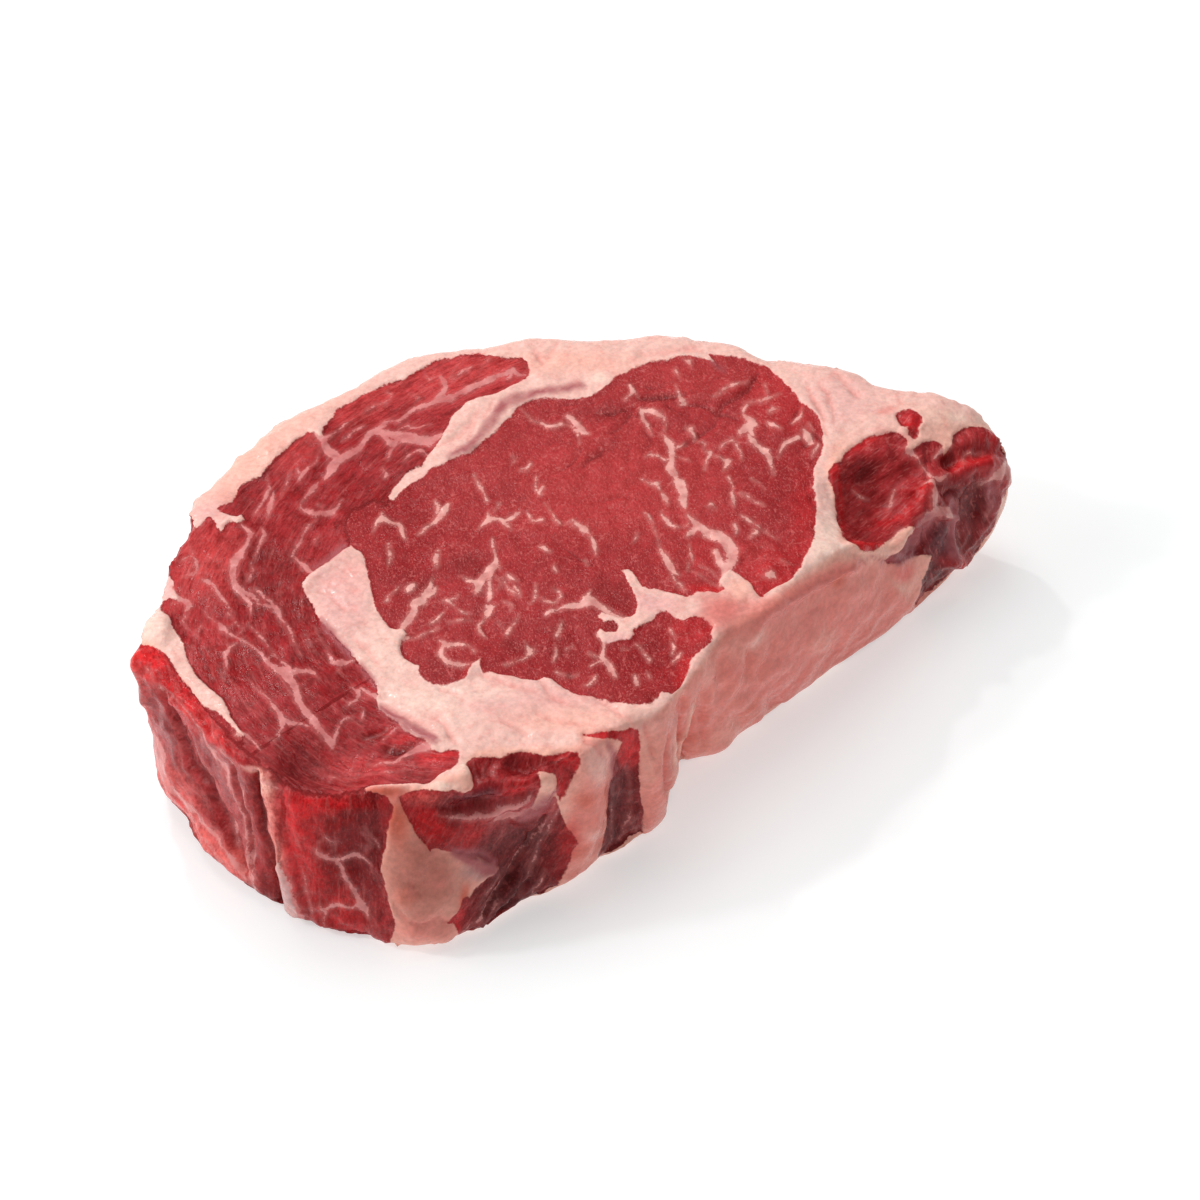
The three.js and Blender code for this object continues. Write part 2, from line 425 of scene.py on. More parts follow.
@dataclass(frozen=True)
class SeenPatch:
    """A stretch of skin drawn as it is seen from the camera's side, in pixels of its frame."""

    bounds: Places = ()
    lean: tuple[Places, ...] = ()
    veins: tuple[Stroke, ...] = ()
    silver: tuple[Stroke, ...] = ()
    lean_tint: Tint = Tint.EYE
    fat_tint: Tint = Tint.PEACH
    lean_dabs: tuple[Dab, ...] = ()
    fat_dabs: tuple[Dab, ...] = ()
    folds: tuple[Stroke, ...] = ()
    lifts: tuple[Spot, ...] = ()
    grooves: tuple[Stroke, ...] = ()
    ridges: tuple[Stroke, ...] = ()
    groove_depth: float = 1.3
    ridge_height: float = 0.9
    streaks: float = 0.5
    wet: float = 0.6
    crag: float = 0.9
    turns: Places = ((2000.0, 0.0),)  # pixels across, and the fibres' lean up to there
    mm: float = 5.0  # pixels to a mm, about
    bunched: float = 1.0  # above one, the fibres look shorter
    soft: float = 6.0  # pixels over which it ends
    sway_size: float = 18.0
    sway_reach: float = 1.8
    seed: int = 41

    def sway(self, u: Array, v: Array) -> tuple[Array, Array]:
        """Moves places a little, so that no drawn edge is straight.

        Args:
            u, v: pixels across and down the camera's frame.

        Returns:
            The moved places.
        """
        flat = np.stack([u, v], -1)
        across, down = (Noise(self.seed + k).layered(flat, self.sway_size) for k in (0, 1))
        return u + self.sway_reach * across, v + self.sway_reach * down

    def fibres(self, u: Array, v: Array) -> Array:
        """Measures places along and across the fibres.

        Args:
            u, v: pixels across and down the camera's frame.

        Returns:
            One row a place, in mm.
        """
        start = 0.0
        result = np.zeros((len(u), 3))
        for end, lean in self.turns:
            here = (u >= start) & (u < end)
            t = math.radians(lean)
            result[here, 0] = (u[here] * math.sin(t) + v[here] * math.cos(t)) * self.bunched / self.mm
            result[here, 1] = (u[here] * math.cos(t) - v[here] * math.sin(t)) / self.mm
            start = end
        return result

    def read(self, u: Array, v: Array) -> Pattern:
        """Works out what shows on the patch.

        Args:
            u, v: pixels across and down the camera's frame.

        Returns:
            The patch's pattern.
        """
        count = len(u)
        x, y = self.sway(u, v)
        flat = np.stack([u, v], -1)
        fat = -np.max([inside_distance(x, y, area) for area in self.lean], axis=0) / self.mm
        vein = stroke_depth(x, y, self.veins) / self.mm
        vein += 0.2 * Noise(self.seed + 2).layered(flat, 10.0, 2)
        fold = stroke_depth(x, y, self.folds) / self.mm
        fold = np.where(fat < 0, np.maximum(fold, stroke_depth(x, y, self.grooves) / self.mm), fold)
        return Pattern(
            fat, vein, fold,
            paint(np.tile(self.lean_tint.linear, (count, 1)), x, y, self.lean_dabs),
            paint(np.tile(self.fat_tint.linear, (count, 1)), x, y, self.fat_dabs),
            soft_step(stroke_depth(x, y, self.silver), -4, 3), np.full(count, self.streaks),
            np.full(count, self.wet), np.full(count, self.crag), self.fibres(u, v),
        )

    def share(self, u: Array, v: Array, faced: Array) -> Array:
        """How much of the skin at each place belongs to the patch as it is seen."""
        return soft_step(inside_distance(u, v, self.bounds), -1, self.soft) * soft_step(faced, 0.02, 0.16)

    def lift(self, u: Array, v: Array) -> Array:
        """Works out the drawn relief.

        Args:
            u, v: pixels across and down the camera's frame.

        Returns:
            How far out the skin stands, in mm.
        """
        x, y = self.sway(u, v)
        height = sum(spot.share(x, y) for spot in self.lifts)
        height = height - self.groove_depth * soft_step(stroke_depth(x, y, self.grooves), -3.5, 1.5)
        return height + self.ridge_height * soft_step(stroke_depth(x, y, self.ridges), -6, 3)


@dataclass(frozen=True)
class Front(SeenPatch):
    """The left side, the front and the long fat edge, up to the torn tail."""

    bounds: Places = outline(
        110, 630, 140, 636, 152, 640, 166, 652, 176, 668, 190, 686, 204, 704, 216, 718, 232, 736, 246, 750,
        262, 762, 276, 772, 292, 786, 320, 794, 345, 791, 370, 784, 400, 783, 426, 783, 434, 779, 441, 774,
        452, 772, 459, 765, 466, 757, 474, 750, 500, 745, 545, 746, 578, 742, 574, 729, 600, 726, 640, 721,
        655, 712, 680, 688, 696, 665, 727, 624, 761, 599, 790, 581, 826, 561, 856, 554, 900, 575, 1000, 640,
        1000, 980, 110, 980,
    )
    lean: tuple[Places, ...] = outlines(
        (100, 640, 140, 645, 150, 644, 160, 650, 166, 656, 171, 664, 176, 671, 184, 682, 192, 692, 201, 705,
         210, 710, 218, 713, 224, 717, 229, 722, 234, 729, 238, 735, 243, 739, 252, 738, 264, 748, 276, 762,
         292, 776, 294, 800, 292, 830, 290, 850, 284, 858, 277, 868, 280, 885, 283, 900, 286, 915, 290, 980,
         100, 980),
        (284, 798, 284, 784, 298, 778, 320, 778, 345, 775, 356, 778, 362, 788, 376, 791, 388, 796, 395, 806,
         391, 820, 388, 834, 384, 850, 383, 870, 386, 890, 390, 905, 394, 920, 395, 932, 390, 944, 390, 980,
         302, 980, 301, 915, 297, 898, 290, 880, 285, 862, 285, 845, 284, 826, 286, 808),
        (400, 797, 408, 793, 425, 790, 445, 790, 465, 788, 480, 781, 500, 779, 515, 776, 528, 773, 537, 774,
         539, 786, 537, 796, 531, 806, 538, 808, 546, 803, 552, 798, 557, 796, 560, 806, 562, 816, 568, 826,
         575, 834, 578, 841, 572, 851, 568, 866, 562, 876, 558, 888, 566, 904, 610, 980, 455, 980, 461, 944,
         460, 938, 457, 930, 452, 922, 446, 924, 452, 914, 458, 903, 462, 895, 469, 896, 478, 885, 487, 878,
         496, 874, 500, 868, 488, 862, 475, 856, 462, 852, 445, 848, 436, 847, 430, 850, 422, 841, 416, 833,
         410, 822, 405, 811),
        (462, 770, 466, 760, 476, 756, 488, 756, 499, 758, 508, 753, 520, 751, 532, 753, 545, 757, 556, 754,
         568, 751, 578, 752, 581, 757, 577, 766, 572, 776, 566, 789, 561, 800, 556, 794, 556, 778, 553, 775,
         541, 774, 530, 776, 516, 780, 500, 783, 485, 785, 474, 788, 470, 777),
        (578, 735, 600, 733, 618, 732, 630, 728, 639, 730, 640, 745, 639, 760, 638, 775, 640, 790, 642, 805,
         642, 820, 642, 832, 636, 833, 630, 846, 640, 870, 600, 880, 597, 862, 596, 852, 601, 845, 603, 830,
         606, 818, 604, 810, 608, 800, 610, 790, 609, 780, 613, 770, 617, 760, 620, 750, 622, 742, 617, 739,
         600, 738, 585, 737),
    )
    veins: tuple[Stroke, ...] = strokes(
        (318, 850, 2, 319, 844, 2, 325, 841, 2, 332, 845, 2, 334, 852, 2, 328, 857, 2),
        (314, 848, 1, 320, 856, 4, 328, 860, 4, 336, 862, 5, 345, 858, 4, 355, 857, 5, 364, 861, 4,
         372, 864, 1),
        (336, 862, 5, 342, 872, 5, 349, 884, 5, 355, 896, 6, 361, 905, 8, 367, 918, 3),
        (361, 904, 5, 352, 909, 4, 342, 905, 4, 332, 907, 6, 324, 911, 4, 319, 903, 1),
        (326, 911, 4, 324, 922, 2, 328, 932, 1),
        (272, 838, 1, 278, 852, 4, 284, 872, 8, 291, 892, 11, 300, 920, 14),
        (366, 826, 1, 372, 836, 2, 379, 846, 1), (364, 832, 0.5, 370, 842, 1.5, 366, 852, 0.5),
        (300, 868, 0.5, 306, 890, 2, 312, 912, 1),
        (243, 766, 2, 252, 770, 4, 262, 775, 3, 274, 781, 4, 284, 790, 2),
        (152, 733, 5, 156, 745, 12, 162, 758, 12, 170, 776, 7, 182, 797, 5, 196, 815, 5),
        (196, 815, 5, 212, 832, 4, 228, 850, 4, 240, 868, 5, 246, 880, 3),
        (160, 756, 10, 157, 766, 5, 160, 772, 2), (170, 792, 1, 186, 812, 2, 205, 836, 2, 226, 862, 1),
        (186, 727, 1, 192, 745, 3, 205, 775, 3, 220, 810, 3, 236, 850, 2),
        (206, 733, 5, 212, 748, 4, 222, 770, 4, 236, 806, 3, 246, 850, 3, 252, 880, 2),
        (222, 748, 2, 234, 776, 4, 244, 810, 5, 250, 850, 4, 256, 890, 2),
        (198, 690, 0.5, 212, 720, 1.5, 218, 738, 0.5), (150, 668, 0.5, 158, 684, 2, 170, 700, 3, 178, 694, 1),
        (180, 700, 1, 188, 712, 2, 198, 726, 3, 206, 733, 3),
        (437, 811, 1, 450, 815, 4, 466, 817, 5, 480, 815, 6, 498, 811, 6, 515, 805, 5, 530, 797, 2),
        (490, 822, 1, 505, 819, 8, 522, 813, 8, 534, 804, 3),
        (556, 800, 1, 548, 818, 2, 538, 836, 2, 528, 852, 2),
        (560, 806, 1, 550, 828, 2, 540, 848, 1.5, 531, 870, 1.5, 520, 898, 0.5),
        (532, 846, 1, 520, 862, 2.5, 508, 880, 3, 494, 902, 3, 480, 920, 2.5, 462, 932, 2),
        (520, 858, 1, 505, 884, 1.5, 497, 905, 1.5, 488, 922, 0.5), (545, 870, 0.5, 538, 884, 2, 527, 900, 1),
        (505, 872, 0.5, 490, 890, 1.5, 478, 908, 0.5), (500, 795, 0.5, 490, 803, 2, 478, 812, 1),
        (486, 760, 0.5, 484, 770, 1.6, 486, 780, 0.5), (472, 762, 0.5, 474, 772, 1.6, 478, 782, 0.5),
        (494, 762, 0.5, 493, 772, 1.4, 495, 780, 0.5), (556, 764, 1, 564, 758, 2, 572, 762, 1),
        (628, 770, 0.5, 632, 795, 1.5, 630, 822, 1.5, 622, 842, 0.5),
        (618, 790, 0.5, 616, 820, 1.2, 612, 846, 0.5),
    )
    silver: tuple[Stroke, ...] = strokes(
        (455, 850, 8, 470, 856, 18, 484, 864, 22, 494, 870, 12),
        (520, 820, 6, 535, 808, 12, 548, 797, 10, 556, 790, 4),
        (607, 745, 6, 613, 756, 10, 611, 775, 8, 608, 800, 5),
        (384, 700, 4, 400, 716, 10, 420, 730, 12, 440, 738, 8),
    )
    lean_dabs: tuple[Dab, ...] = dabs(
        (205, 800, 90, 110, Tint.DUSK, 1.0, -25), (150, 660, 30, 22, Tint.RAW, 1.0),
        (182, 700, 42, 16, Tint.RAW, 1.0, 52), (222, 742, 34, 9, Tint.RAW, 0.7, 48),
        (144, 690, 6, 40, Tint.CORAL, 0.7, -8), (165, 705, 10, 28, Tint.DEEP, 0.5, -22),
        (172, 740, 5, 44, Tint.CRIMSON, 0.7, -24), (205, 805, 5, 40, Tint.CRIMSON, 0.6, -32),
        (172, 790, 18, 34, Tint.CORAL, 1.0, -28), (208, 846, 14, 60, Tint.CORAL, 1.0, -45),
        (236, 868, 12, 26, Tint.CORAL, 0.9, -40), (180, 795, 5, 16, Tint.RAW, 0.7, -28),
        (270, 850, 9, 70, Tint.CRIMSON, 0.8, -14), (262, 895, 22, 14, Tint.MAROON, 0.6, 30),
        (335, 870, 52, 90, Tint.GORE, 1.0), (345, 838, 26, 20, Tint.BLOOD, 0.45, -30),
        (352, 872, 12, 26, Tint.BLOOD, 0.4, -10), (318, 885, 10, 26, Tint.RAW, 0.35, -20),
        (350, 905, 22, 12, Tint.RAW, 0.45), (300, 835, 16, 44, Tint.RAW, 0.75),
        (318, 806, 34, 9, Tint.RAW, 0.9), (365, 806, 18, 8, Tint.RAW, 0.6),
        (345, 925, 26, 14, Tint.RAW, 0.5), (372, 850, 14, 80, Tint.BLOOD, 0.7),
        (440, 830, 44, 26, Tint.GORE, 1.0, 20), (430, 822, 20, 12, Tint.RAW, 0.5, 20),
        (470, 835, 16, 14, Tint.RAW, 0.6), (425, 798, 24, 6, Tint.CORAL, 0.6),
        (475, 798, 34, 9, Tint.PLUM, 1.0, -10), (452, 803, 14, 6, Tint.CRIMSON, 0.6),
        (517, 789, 20, 8, Tint.RAW, 0.8, -14), (510, 812, 30, 10, Tint.DUSK, 0.7, -18),
        # the large MAROON dab at (515, 890) is painted shade in the recess under the flap
        (520, 845, 60, 26, Tint.MAROON, 0.9, -20), (515, 890, 70, 40, Tint.MAROON, 1.0, -40),
        (528, 885, 20, 44, Tint.BLOOD, 0.35, 30), (560, 850, 14, 50, Tint.GORE, 0.8, 14),
        (505, 858, 20, 8, Tint.DEEP, 0.6), (478, 895, 16, 22, Tint.DEEP, 0.6, 30),
        (556, 850, 10, 46, Tint.DEEP, 0.9, 12), (568, 840, 10, 18, Tint.RAW, 0.6, 8),
        (455, 925, 8, 24, Tint.RAW, 0.7, 20), (484, 770, 22, 14, Tint.CAP, 1.0),
        (524, 765, 24, 12, Tint.DEEP, 0.9), (567, 762, 14, 10, Tint.RAW, 0.9),
        (562, 785, 7, 16, Tint.RAW, 0.6), (620, 800, 24, 60, Tint.MAROON, 1.0),
        (630, 748, 12, 26, Tint.RAW, 1.0), (634, 800, 7, 36, Tint.DEEP, 0.7),
        (612, 836, 12, 24, Tint.BLOOD, 0.6), (600, 735, 24, 4, Tint.RAW),
        (267, 782, 8, 12, Tint.PEACH, 0.85, -30), (272, 806, 8, 22, Tint.SALMON, 0.9, -10),
        (277, 842, 8, 30, Tint.SALMON, 0.8, -12), (288, 820, 9, 34, Tint.RAW, 0.6, -8),
        (254, 771, 10, 3, Tint.PEACH, 0.7, 15),
    )
    fat_dabs: tuple[Dab, ...] = dabs(
        (293, 892, 14, 40, Tint.SILVER, 0.9, -14), (385, 792, 24, 8, Tint.SALMON, 0.9),
        (420, 870, 48, 60, Tint.WAX, 1.0), (398, 815, 14, 14, Tint.WAX), (398, 818, 12, 26, Tint.STAIN),
        (404, 797, 18, 6, Tint.SALMON, 0.9), (430, 882, 26, 26, Tint.WAX, 0.6),
        (425, 928, 40, 16, Tint.SALMON, 0.7), (405, 895, 12, 10, Tint.STAIN, 0.35),
        (462, 895, 6, 14, Tint.STAIN, 0.9, 20), (480, 872, 20, 10, Tint.SLATE, 0.5),
        (455, 776, 20, 14, Tint.PEACH, 1.0), (461, 770, 6, 7, Tint.IVORY, 0.7, 40),
        (440, 786, 16, 4, Tint.IVORY), (385, 790, 26, 6, Tint.STAIN), (418, 788, 14, 4, Tint.PEACH, 0.7),
        (547, 785, 12, 12, Tint.PEACH, 0.9), (588, 815, 24, 80, Tint.SALMON, 0.9, 8),
        (595, 762, 12, 20, Tint.CREAM), (586, 800, 7, 9, Tint.STAIN, 0.5, 20),
        (600, 790, 5, 14, Tint.STAIN, 0.35, 10), (592, 832, 9, 7, Tint.CREAM, 0.5),
        (581, 850, 6, 12, Tint.STAIN, 0.4, 12), (570, 840, 9, 22, Tint.CORAL, 0.9, 8),
        (578, 797, 10, 7, Tint.STAIN, 0.5), (580, 875, 24, 10, Tint.SALMON, 0.7),
        (640, 722, 60, 10, Tint.CREAM, 0.9), (655, 790, 24, 60, Tint.SALMON, 0.8, 8),
        (671, 780, 7, 26, Tint.STAIN, 0.7, 6), (650, 760, 9, 30, Tint.PEACH, 0.7, 8),
        (674, 770, 7, 30, Tint.WAX, 0.9, 6), (683, 763, 4, 4, Tint.RAW, 0.7),
        (700, 720, 30, 50, Tint.SALMON, 0.7), (700, 735, 8, 26, Tint.STAIN, 0.35),
        (830, 665, 210, 130, Tint.SALMON, 1.0, -32), (790, 598, 60, 9, Tint.FLUSH, 0.8, -33),
        # the CREAM dab at (750, 640) is the fat's paler colour brightened into a painted highlight on the
        # rim's crest
        (835, 572, 30, 8, Tint.FLUSH, 0.7, -28), (750, 640, 16, 7, Tint.CREAM, 0.6, -50),
        (730, 670, 10, 12, Tint.CORAL, 0.25), (775, 690, 16, 10, Tint.CORAL, 0.25, -30),
        (818, 640, 18, 10, Tint.PEACH, 0.25, -30), (750, 710, 14, 8, Tint.STAIN, 0.5, -30),
        (905, 577, 12, 12, Tint.CORAL, 0.6, -50), (834, 579, 9, 7, Tint.STAIN, 0.9, -40),
        (720, 735, 26, 12, Tint.PEACH, 0.3, -30),
    )
    folds: tuple[Stroke, ...] = strokes(
        (672, 722, 2, 669, 745, 4, 667, 765, 4, 668, 790, 4, 666, 804, 2),
        (684, 700, 2, 684, 730, 4, 683, 750, 4, 682, 764, 3), (645, 724, 2, 650, 745, 3, 654, 765, 2),
        (700, 690, 2, 698, 715, 3, 700, 740, 2),
        (396, 905, 0.5, 406, 918, 1.5, 420, 922, 1.5, 436, 918, 1, 446, 922, 1),
        (410, 880, 0.5, 414, 892, 1, 406, 896, 1), (560, 735, 1, 580, 740, 3, 596, 746, 3, 600, 756, 1),
        (743, 642, 2, 747, 656, 3, 744, 676, 1), (722, 650, 2, 718, 668, 3, 714, 688, 1),
        (770, 640, 1, 766, 656, 2, 758, 676, 1), (694, 690, 1, 692, 715, 3, 687, 745, 2),
    )
    lifts: tuple[Spot, ...] = spots(
        (155, 665, 20, 16, 0.7), (185, 705, 22, 10, 0.8, 50), (218, 740, 20, 8, 0.9, 45),
        (165, 770, 10, 40, 0.8, -28), (210, 850, 10, 44, 0.7, -45), (225, 800, 18, 60, -0.8, -22),
        (340, 870, 36, 60, -0.8), (425, 880, 36, 46, 0.7), (415, 865, 14, 12, 0.5), (440, 880, 12, 14, 0.5),
        (408, 895, 12, 10, 0.5), (418, 932, 14, 7, 0.7), (445, 935, 10, 8, 0.7), (424, 905, 12, 8, -0.4),
        (440, 828, 24, 14, 0.6, 20), (478, 806, 30, 7, -2.0, -8), (520, 850, 30, 26, -1.0, -30),
        (484, 770, 18, 10, -0.6), (524, 765, 22, 10, -2.2), (563, 768, 10, 18, -0.9),
        (459, 774, 8, 9, 1.5, 30), (444, 782, 9, 4, 0.9, -10), (466, 781, 6, 6, 0.6),
        (590, 810, 12, 60, 0.8, 8), (622, 800, 12, 52, -1.6, 6), (655, 790, 11, 44, 0.8, 8),
        (680, 750, 9, 40, -0.9, 4), (733, 665, 8, 26, 0.9, 6), (707, 700, 9, 30, 1.0, 8),
        (757, 660, 8, 22, 0.7, 12), (745, 705, 12, 12, 0.6), (718, 738, 18, 12, 0.7, -20),
        (785, 672, 16, 14, 0.5), (812, 640, 16, 12, 0.5), (850, 630, 16, 12, 0.4), (860, 590, 20, 10, 0.4),
        (905, 590, 16, 20, 0.6, -30),
        *LONG_RIM,
        (772, 705, 10, 8, -0.6), (735, 715, 6, 10, -0.6),
    )
    grooves: tuple[Stroke, ...] = strokes(
        (256, 776, 4, 260, 800, 6, 266, 830, 7, 274, 860, 7, 280, 890, 6, 284, 912, 4),
        (163, 690, 2, 176, 728, 3, 190, 760, 4, 212, 800, 4, 236, 846, 4, 246, 872, 3),
        (182, 730, 1, 202, 776, 3, 222, 822, 3, 240, 862, 1), (230, 770, 1, 244, 820, 3, 254, 870, 2),
        (545, 815, 1, 530, 845, 3, 510, 880, 3, 485, 915, 2), (530, 880, 1, 515, 900, 3, 495, 925, 2),
        (668, 735, 2, 666, 765, 4, 667, 795, 3), (684, 720, 2, 683, 745, 4, 682, 764, 3),
    )
    ridges: tuple[Stroke, ...] = strokes(
        (270, 772, 14, 273, 800, 11, 281, 840, 9, 290, 880, 9, 298, 910, 9),
        (412, 797, 6, 450, 791, 8, 500, 786, 9, 534, 781, 10, 548, 786, 10, 545, 798, 4),
        (437, 811, 2, 466, 817, 5, 498, 812, 6, 528, 799, 3), (136, 655, 10, 150, 700, 6),
        (320, 797, 4, 350, 795, 4),
        (744, 640, 5, 758, 618, 5, 768, 608, 6, 786, 598, 6, 806, 588, 6, 830, 574, 6, 846, 566, 4),
    )
    streaks: float = 0.9
    wet: float = 0.5
    bunched: float = 2.0
    crag: float = 0.6
    turns: tuple[tuple[float, float], ...] = ((283.0, 21.0), (400.0, 3.0), (585.0, -31.0), (2000.0, -8.0))
    seed: int = 51


@dataclass(frozen=True)
class Tail(SeenPatch):
    """The torn thin end."""

    bounds: Places = outline(
        822, 470, 832, 440, 860, 415, 885, 404, 900, 400, 930, 405, 950, 408, 985, 418, 1010, 425, 1040, 440,
        1040, 600, 920, 640, 905, 600, 880, 575, 860, 560, 838, 545,
    )
    lean: tuple[Places, ...] = outlines(
        (827, 472, 832, 466, 842, 461, 846, 452, 856, 445, 866, 438, 874, 434, 884, 431, 893, 432, 900, 434,
         907, 441, 904, 449, 908, 452, 914, 449, 921, 443, 930, 441, 938, 442, 943, 447, 946, 456, 951, 446,
         952, 434, 960, 429, 972, 426, 985, 429, 996, 434, 1001, 445, 1008, 452, 1018, 466, 1020, 478,
         1012, 490, 1002, 496, 998, 520, 992, 545, 980, 560, 965, 575, 940, 585, 905, 620, 918, 590, 926, 570,
         931, 556, 920, 556, 904, 561, 888, 565, 884, 560, 893, 555, 899, 545, 905, 535, 911, 528, 905, 528,
         896, 534, 886, 540, 880, 545, 868, 551, 856, 551, 848, 547, 842, 536, 838, 520, 834, 500, 828, 482),
        (895, 416, 900, 413, 909, 411, 915, 414, 920, 418, 921, 424, 917, 430, 917, 438, 912, 441, 908, 437,
         907, 430, 901, 427),
    )
    veins: tuple[Stroke, ...] = strokes(
        (906, 452, 7, 915, 457, 4, 921, 466, 3, 931, 479, 4, 941, 482, 4, 948, 474, 2),
        (936, 458, 4, 941, 452, 6, 948, 448, 7, 950, 438, 5),
        (962, 465, 1, 964, 456, 2, 971, 452, 2, 982, 453, 1), (896, 489, 0.5, 893, 497, 2, 889, 505, 0.5),
        (858, 487, 0.5, 866, 493, 1.6, 873, 496, 0.5),
        (920, 486, 2, 931, 485, 7, 934, 492, 9, 932, 502, 8, 936, 510, 9, 948, 512, 10, 957, 518, 5),
        (938, 511, 10, 928, 518, 8, 922, 528, 6),
        (984, 488, 4, 994, 474, 8, 1001, 466, 10, 1003, 474, 8, 1010, 487, 6),
        (1003, 458, 2, 1010, 460, 2, 1014, 470, 1.5), (902, 530, 3, 893, 540, 7, 886, 548, 9, 880, 556, 8),
        (990, 497, 2, 992, 508, 1, 990, 522, 0.5),
    )
    silver: tuple[Stroke, ...] = strokes(
        (929, 520, 12, 918, 540, 16, 908, 554, 14, 896, 561, 8), (991, 488, 8, 993, 498, 9, 992, 508, 5),
        (953, 500, 6, 956, 520, 8, 954, 540, 8, 950, 556, 5), (890, 556, 5, 880, 562, 6, 868, 556, 2),
    )
    lean_dabs: tuple[Dab, ...] = dabs(
        (880, 490, 60, 60, Tint.EYE, 1.0), (872, 468, 16, 10, Tint.DEEP, 0.85, -40),
        (862, 494, 14, 9, Tint.EYE, 0.6), (845, 488, 5, 34, Tint.CRIMSON, 0.7, 12),
        (834, 474, 6, 7, Tint.RAW), (843, 500, 4, 34, Tint.RAW, 0.7, -10),
        (866, 441, 22, 5, Tint.RAW, 0.6, -28), (862, 545, 16, 6, Tint.RAW, 1.0, -6),
        (862, 528, 16, 10, Tint.DEEP, 0.5), (920, 492, 14, 9, Tint.RAW, 0.8, -20),
        (905, 512, 14, 8, Tint.RAW, 0.6, -30), (884, 514, 8, 8, Tint.RAW, 0.7),
        (912, 425, 12, 10, Tint.RAW, 0.7), (928, 462, 14, 8, Tint.EYE), (951, 462, 7, 9, Tint.DEEP),
        (975, 440, 24, 11, Tint.EYE, 0.9), (990, 437, 10, 6, Tint.RAW, 0.5),
        (976, 462, 26, 7, Tint.RAW, 0.7, -14), (950, 490, 12, 12, Tint.DEEP),
        (1011, 470, 6, 18, Tint.RAW, 0.6), (975, 505, 22, 26, Tint.MAROON, 0.9),
        (967, 545, 24, 16, Tint.DEEP, 0.9), (985, 510, 6, 26, Tint.DEEP, 0.7),
        (942, 540, 14, 22, Tint.PLUM, 0.9), (930, 575, 20, 22, Tint.MAROON, 1.0, 30),
        (960, 560, 16, 6, Tint.RAW, 0.95), (968, 554, 8, 6, Tint.CRIMSON, 0.6),
        (904, 552, 16, 14, Tint.PLUM),
    )
    fat_dabs: tuple[Dab, ...] = dabs(
        (870, 420, 60, 30, Tint.CREAM, 0.9), (975, 415, 50, 12, Tint.IVORY),
        (884, 411, 12, 6, Tint.ROSE, 0.55), (900, 440, 10, 6, Tint.ROSE, 0.5),
        (870, 574, 60, 12, Tint.SALMON, 0.9, -8), (905, 575, 12, 9, Tint.CORAL, 0.75, -50),
        (838, 576, 9, 8, Tint.CORAL, 0.6, -40), (925, 600, 26, 18, Tint.SALMON),
        (944, 440, 7, 26, Tint.PEACH, 0.7),
    )
    lifts: tuple[Spot, ...] = spots(
        (870, 500, 26, 36, -2.2), (870, 470, 18, 12, -1.2, -30), (834, 480, 7, 20, 1.2),
        (862, 548, 26, 6, 1.4, -6), (900, 540, 26, 6, 1.2, -40), (930, 495, 9, 12, 2.2),
        (918, 488, 14, 7, 1.2), (951, 462, 7, 10, -2.4), (976, 466, 28, 6, 1.6, -14), (976, 440, 24, 10),
        (1000, 474, 9, 12, 1.6), (945, 515, 16, 5, 1.4, 15), (950, 492, 12, 8, -1.8),
        (972, 510, 14, 30, -1.6, 20), (955, 538, 4, 28, 1.2, 8), (960, 562, 16, 7, 1.6), (912, 425, 10, 12),
        (918, 545, 10, 18, -1.4, 35), (878, 556, 10, 5, 0.9),
    )
    turns: Places = ((925.0, -55.0), (2000.0, 12.0))


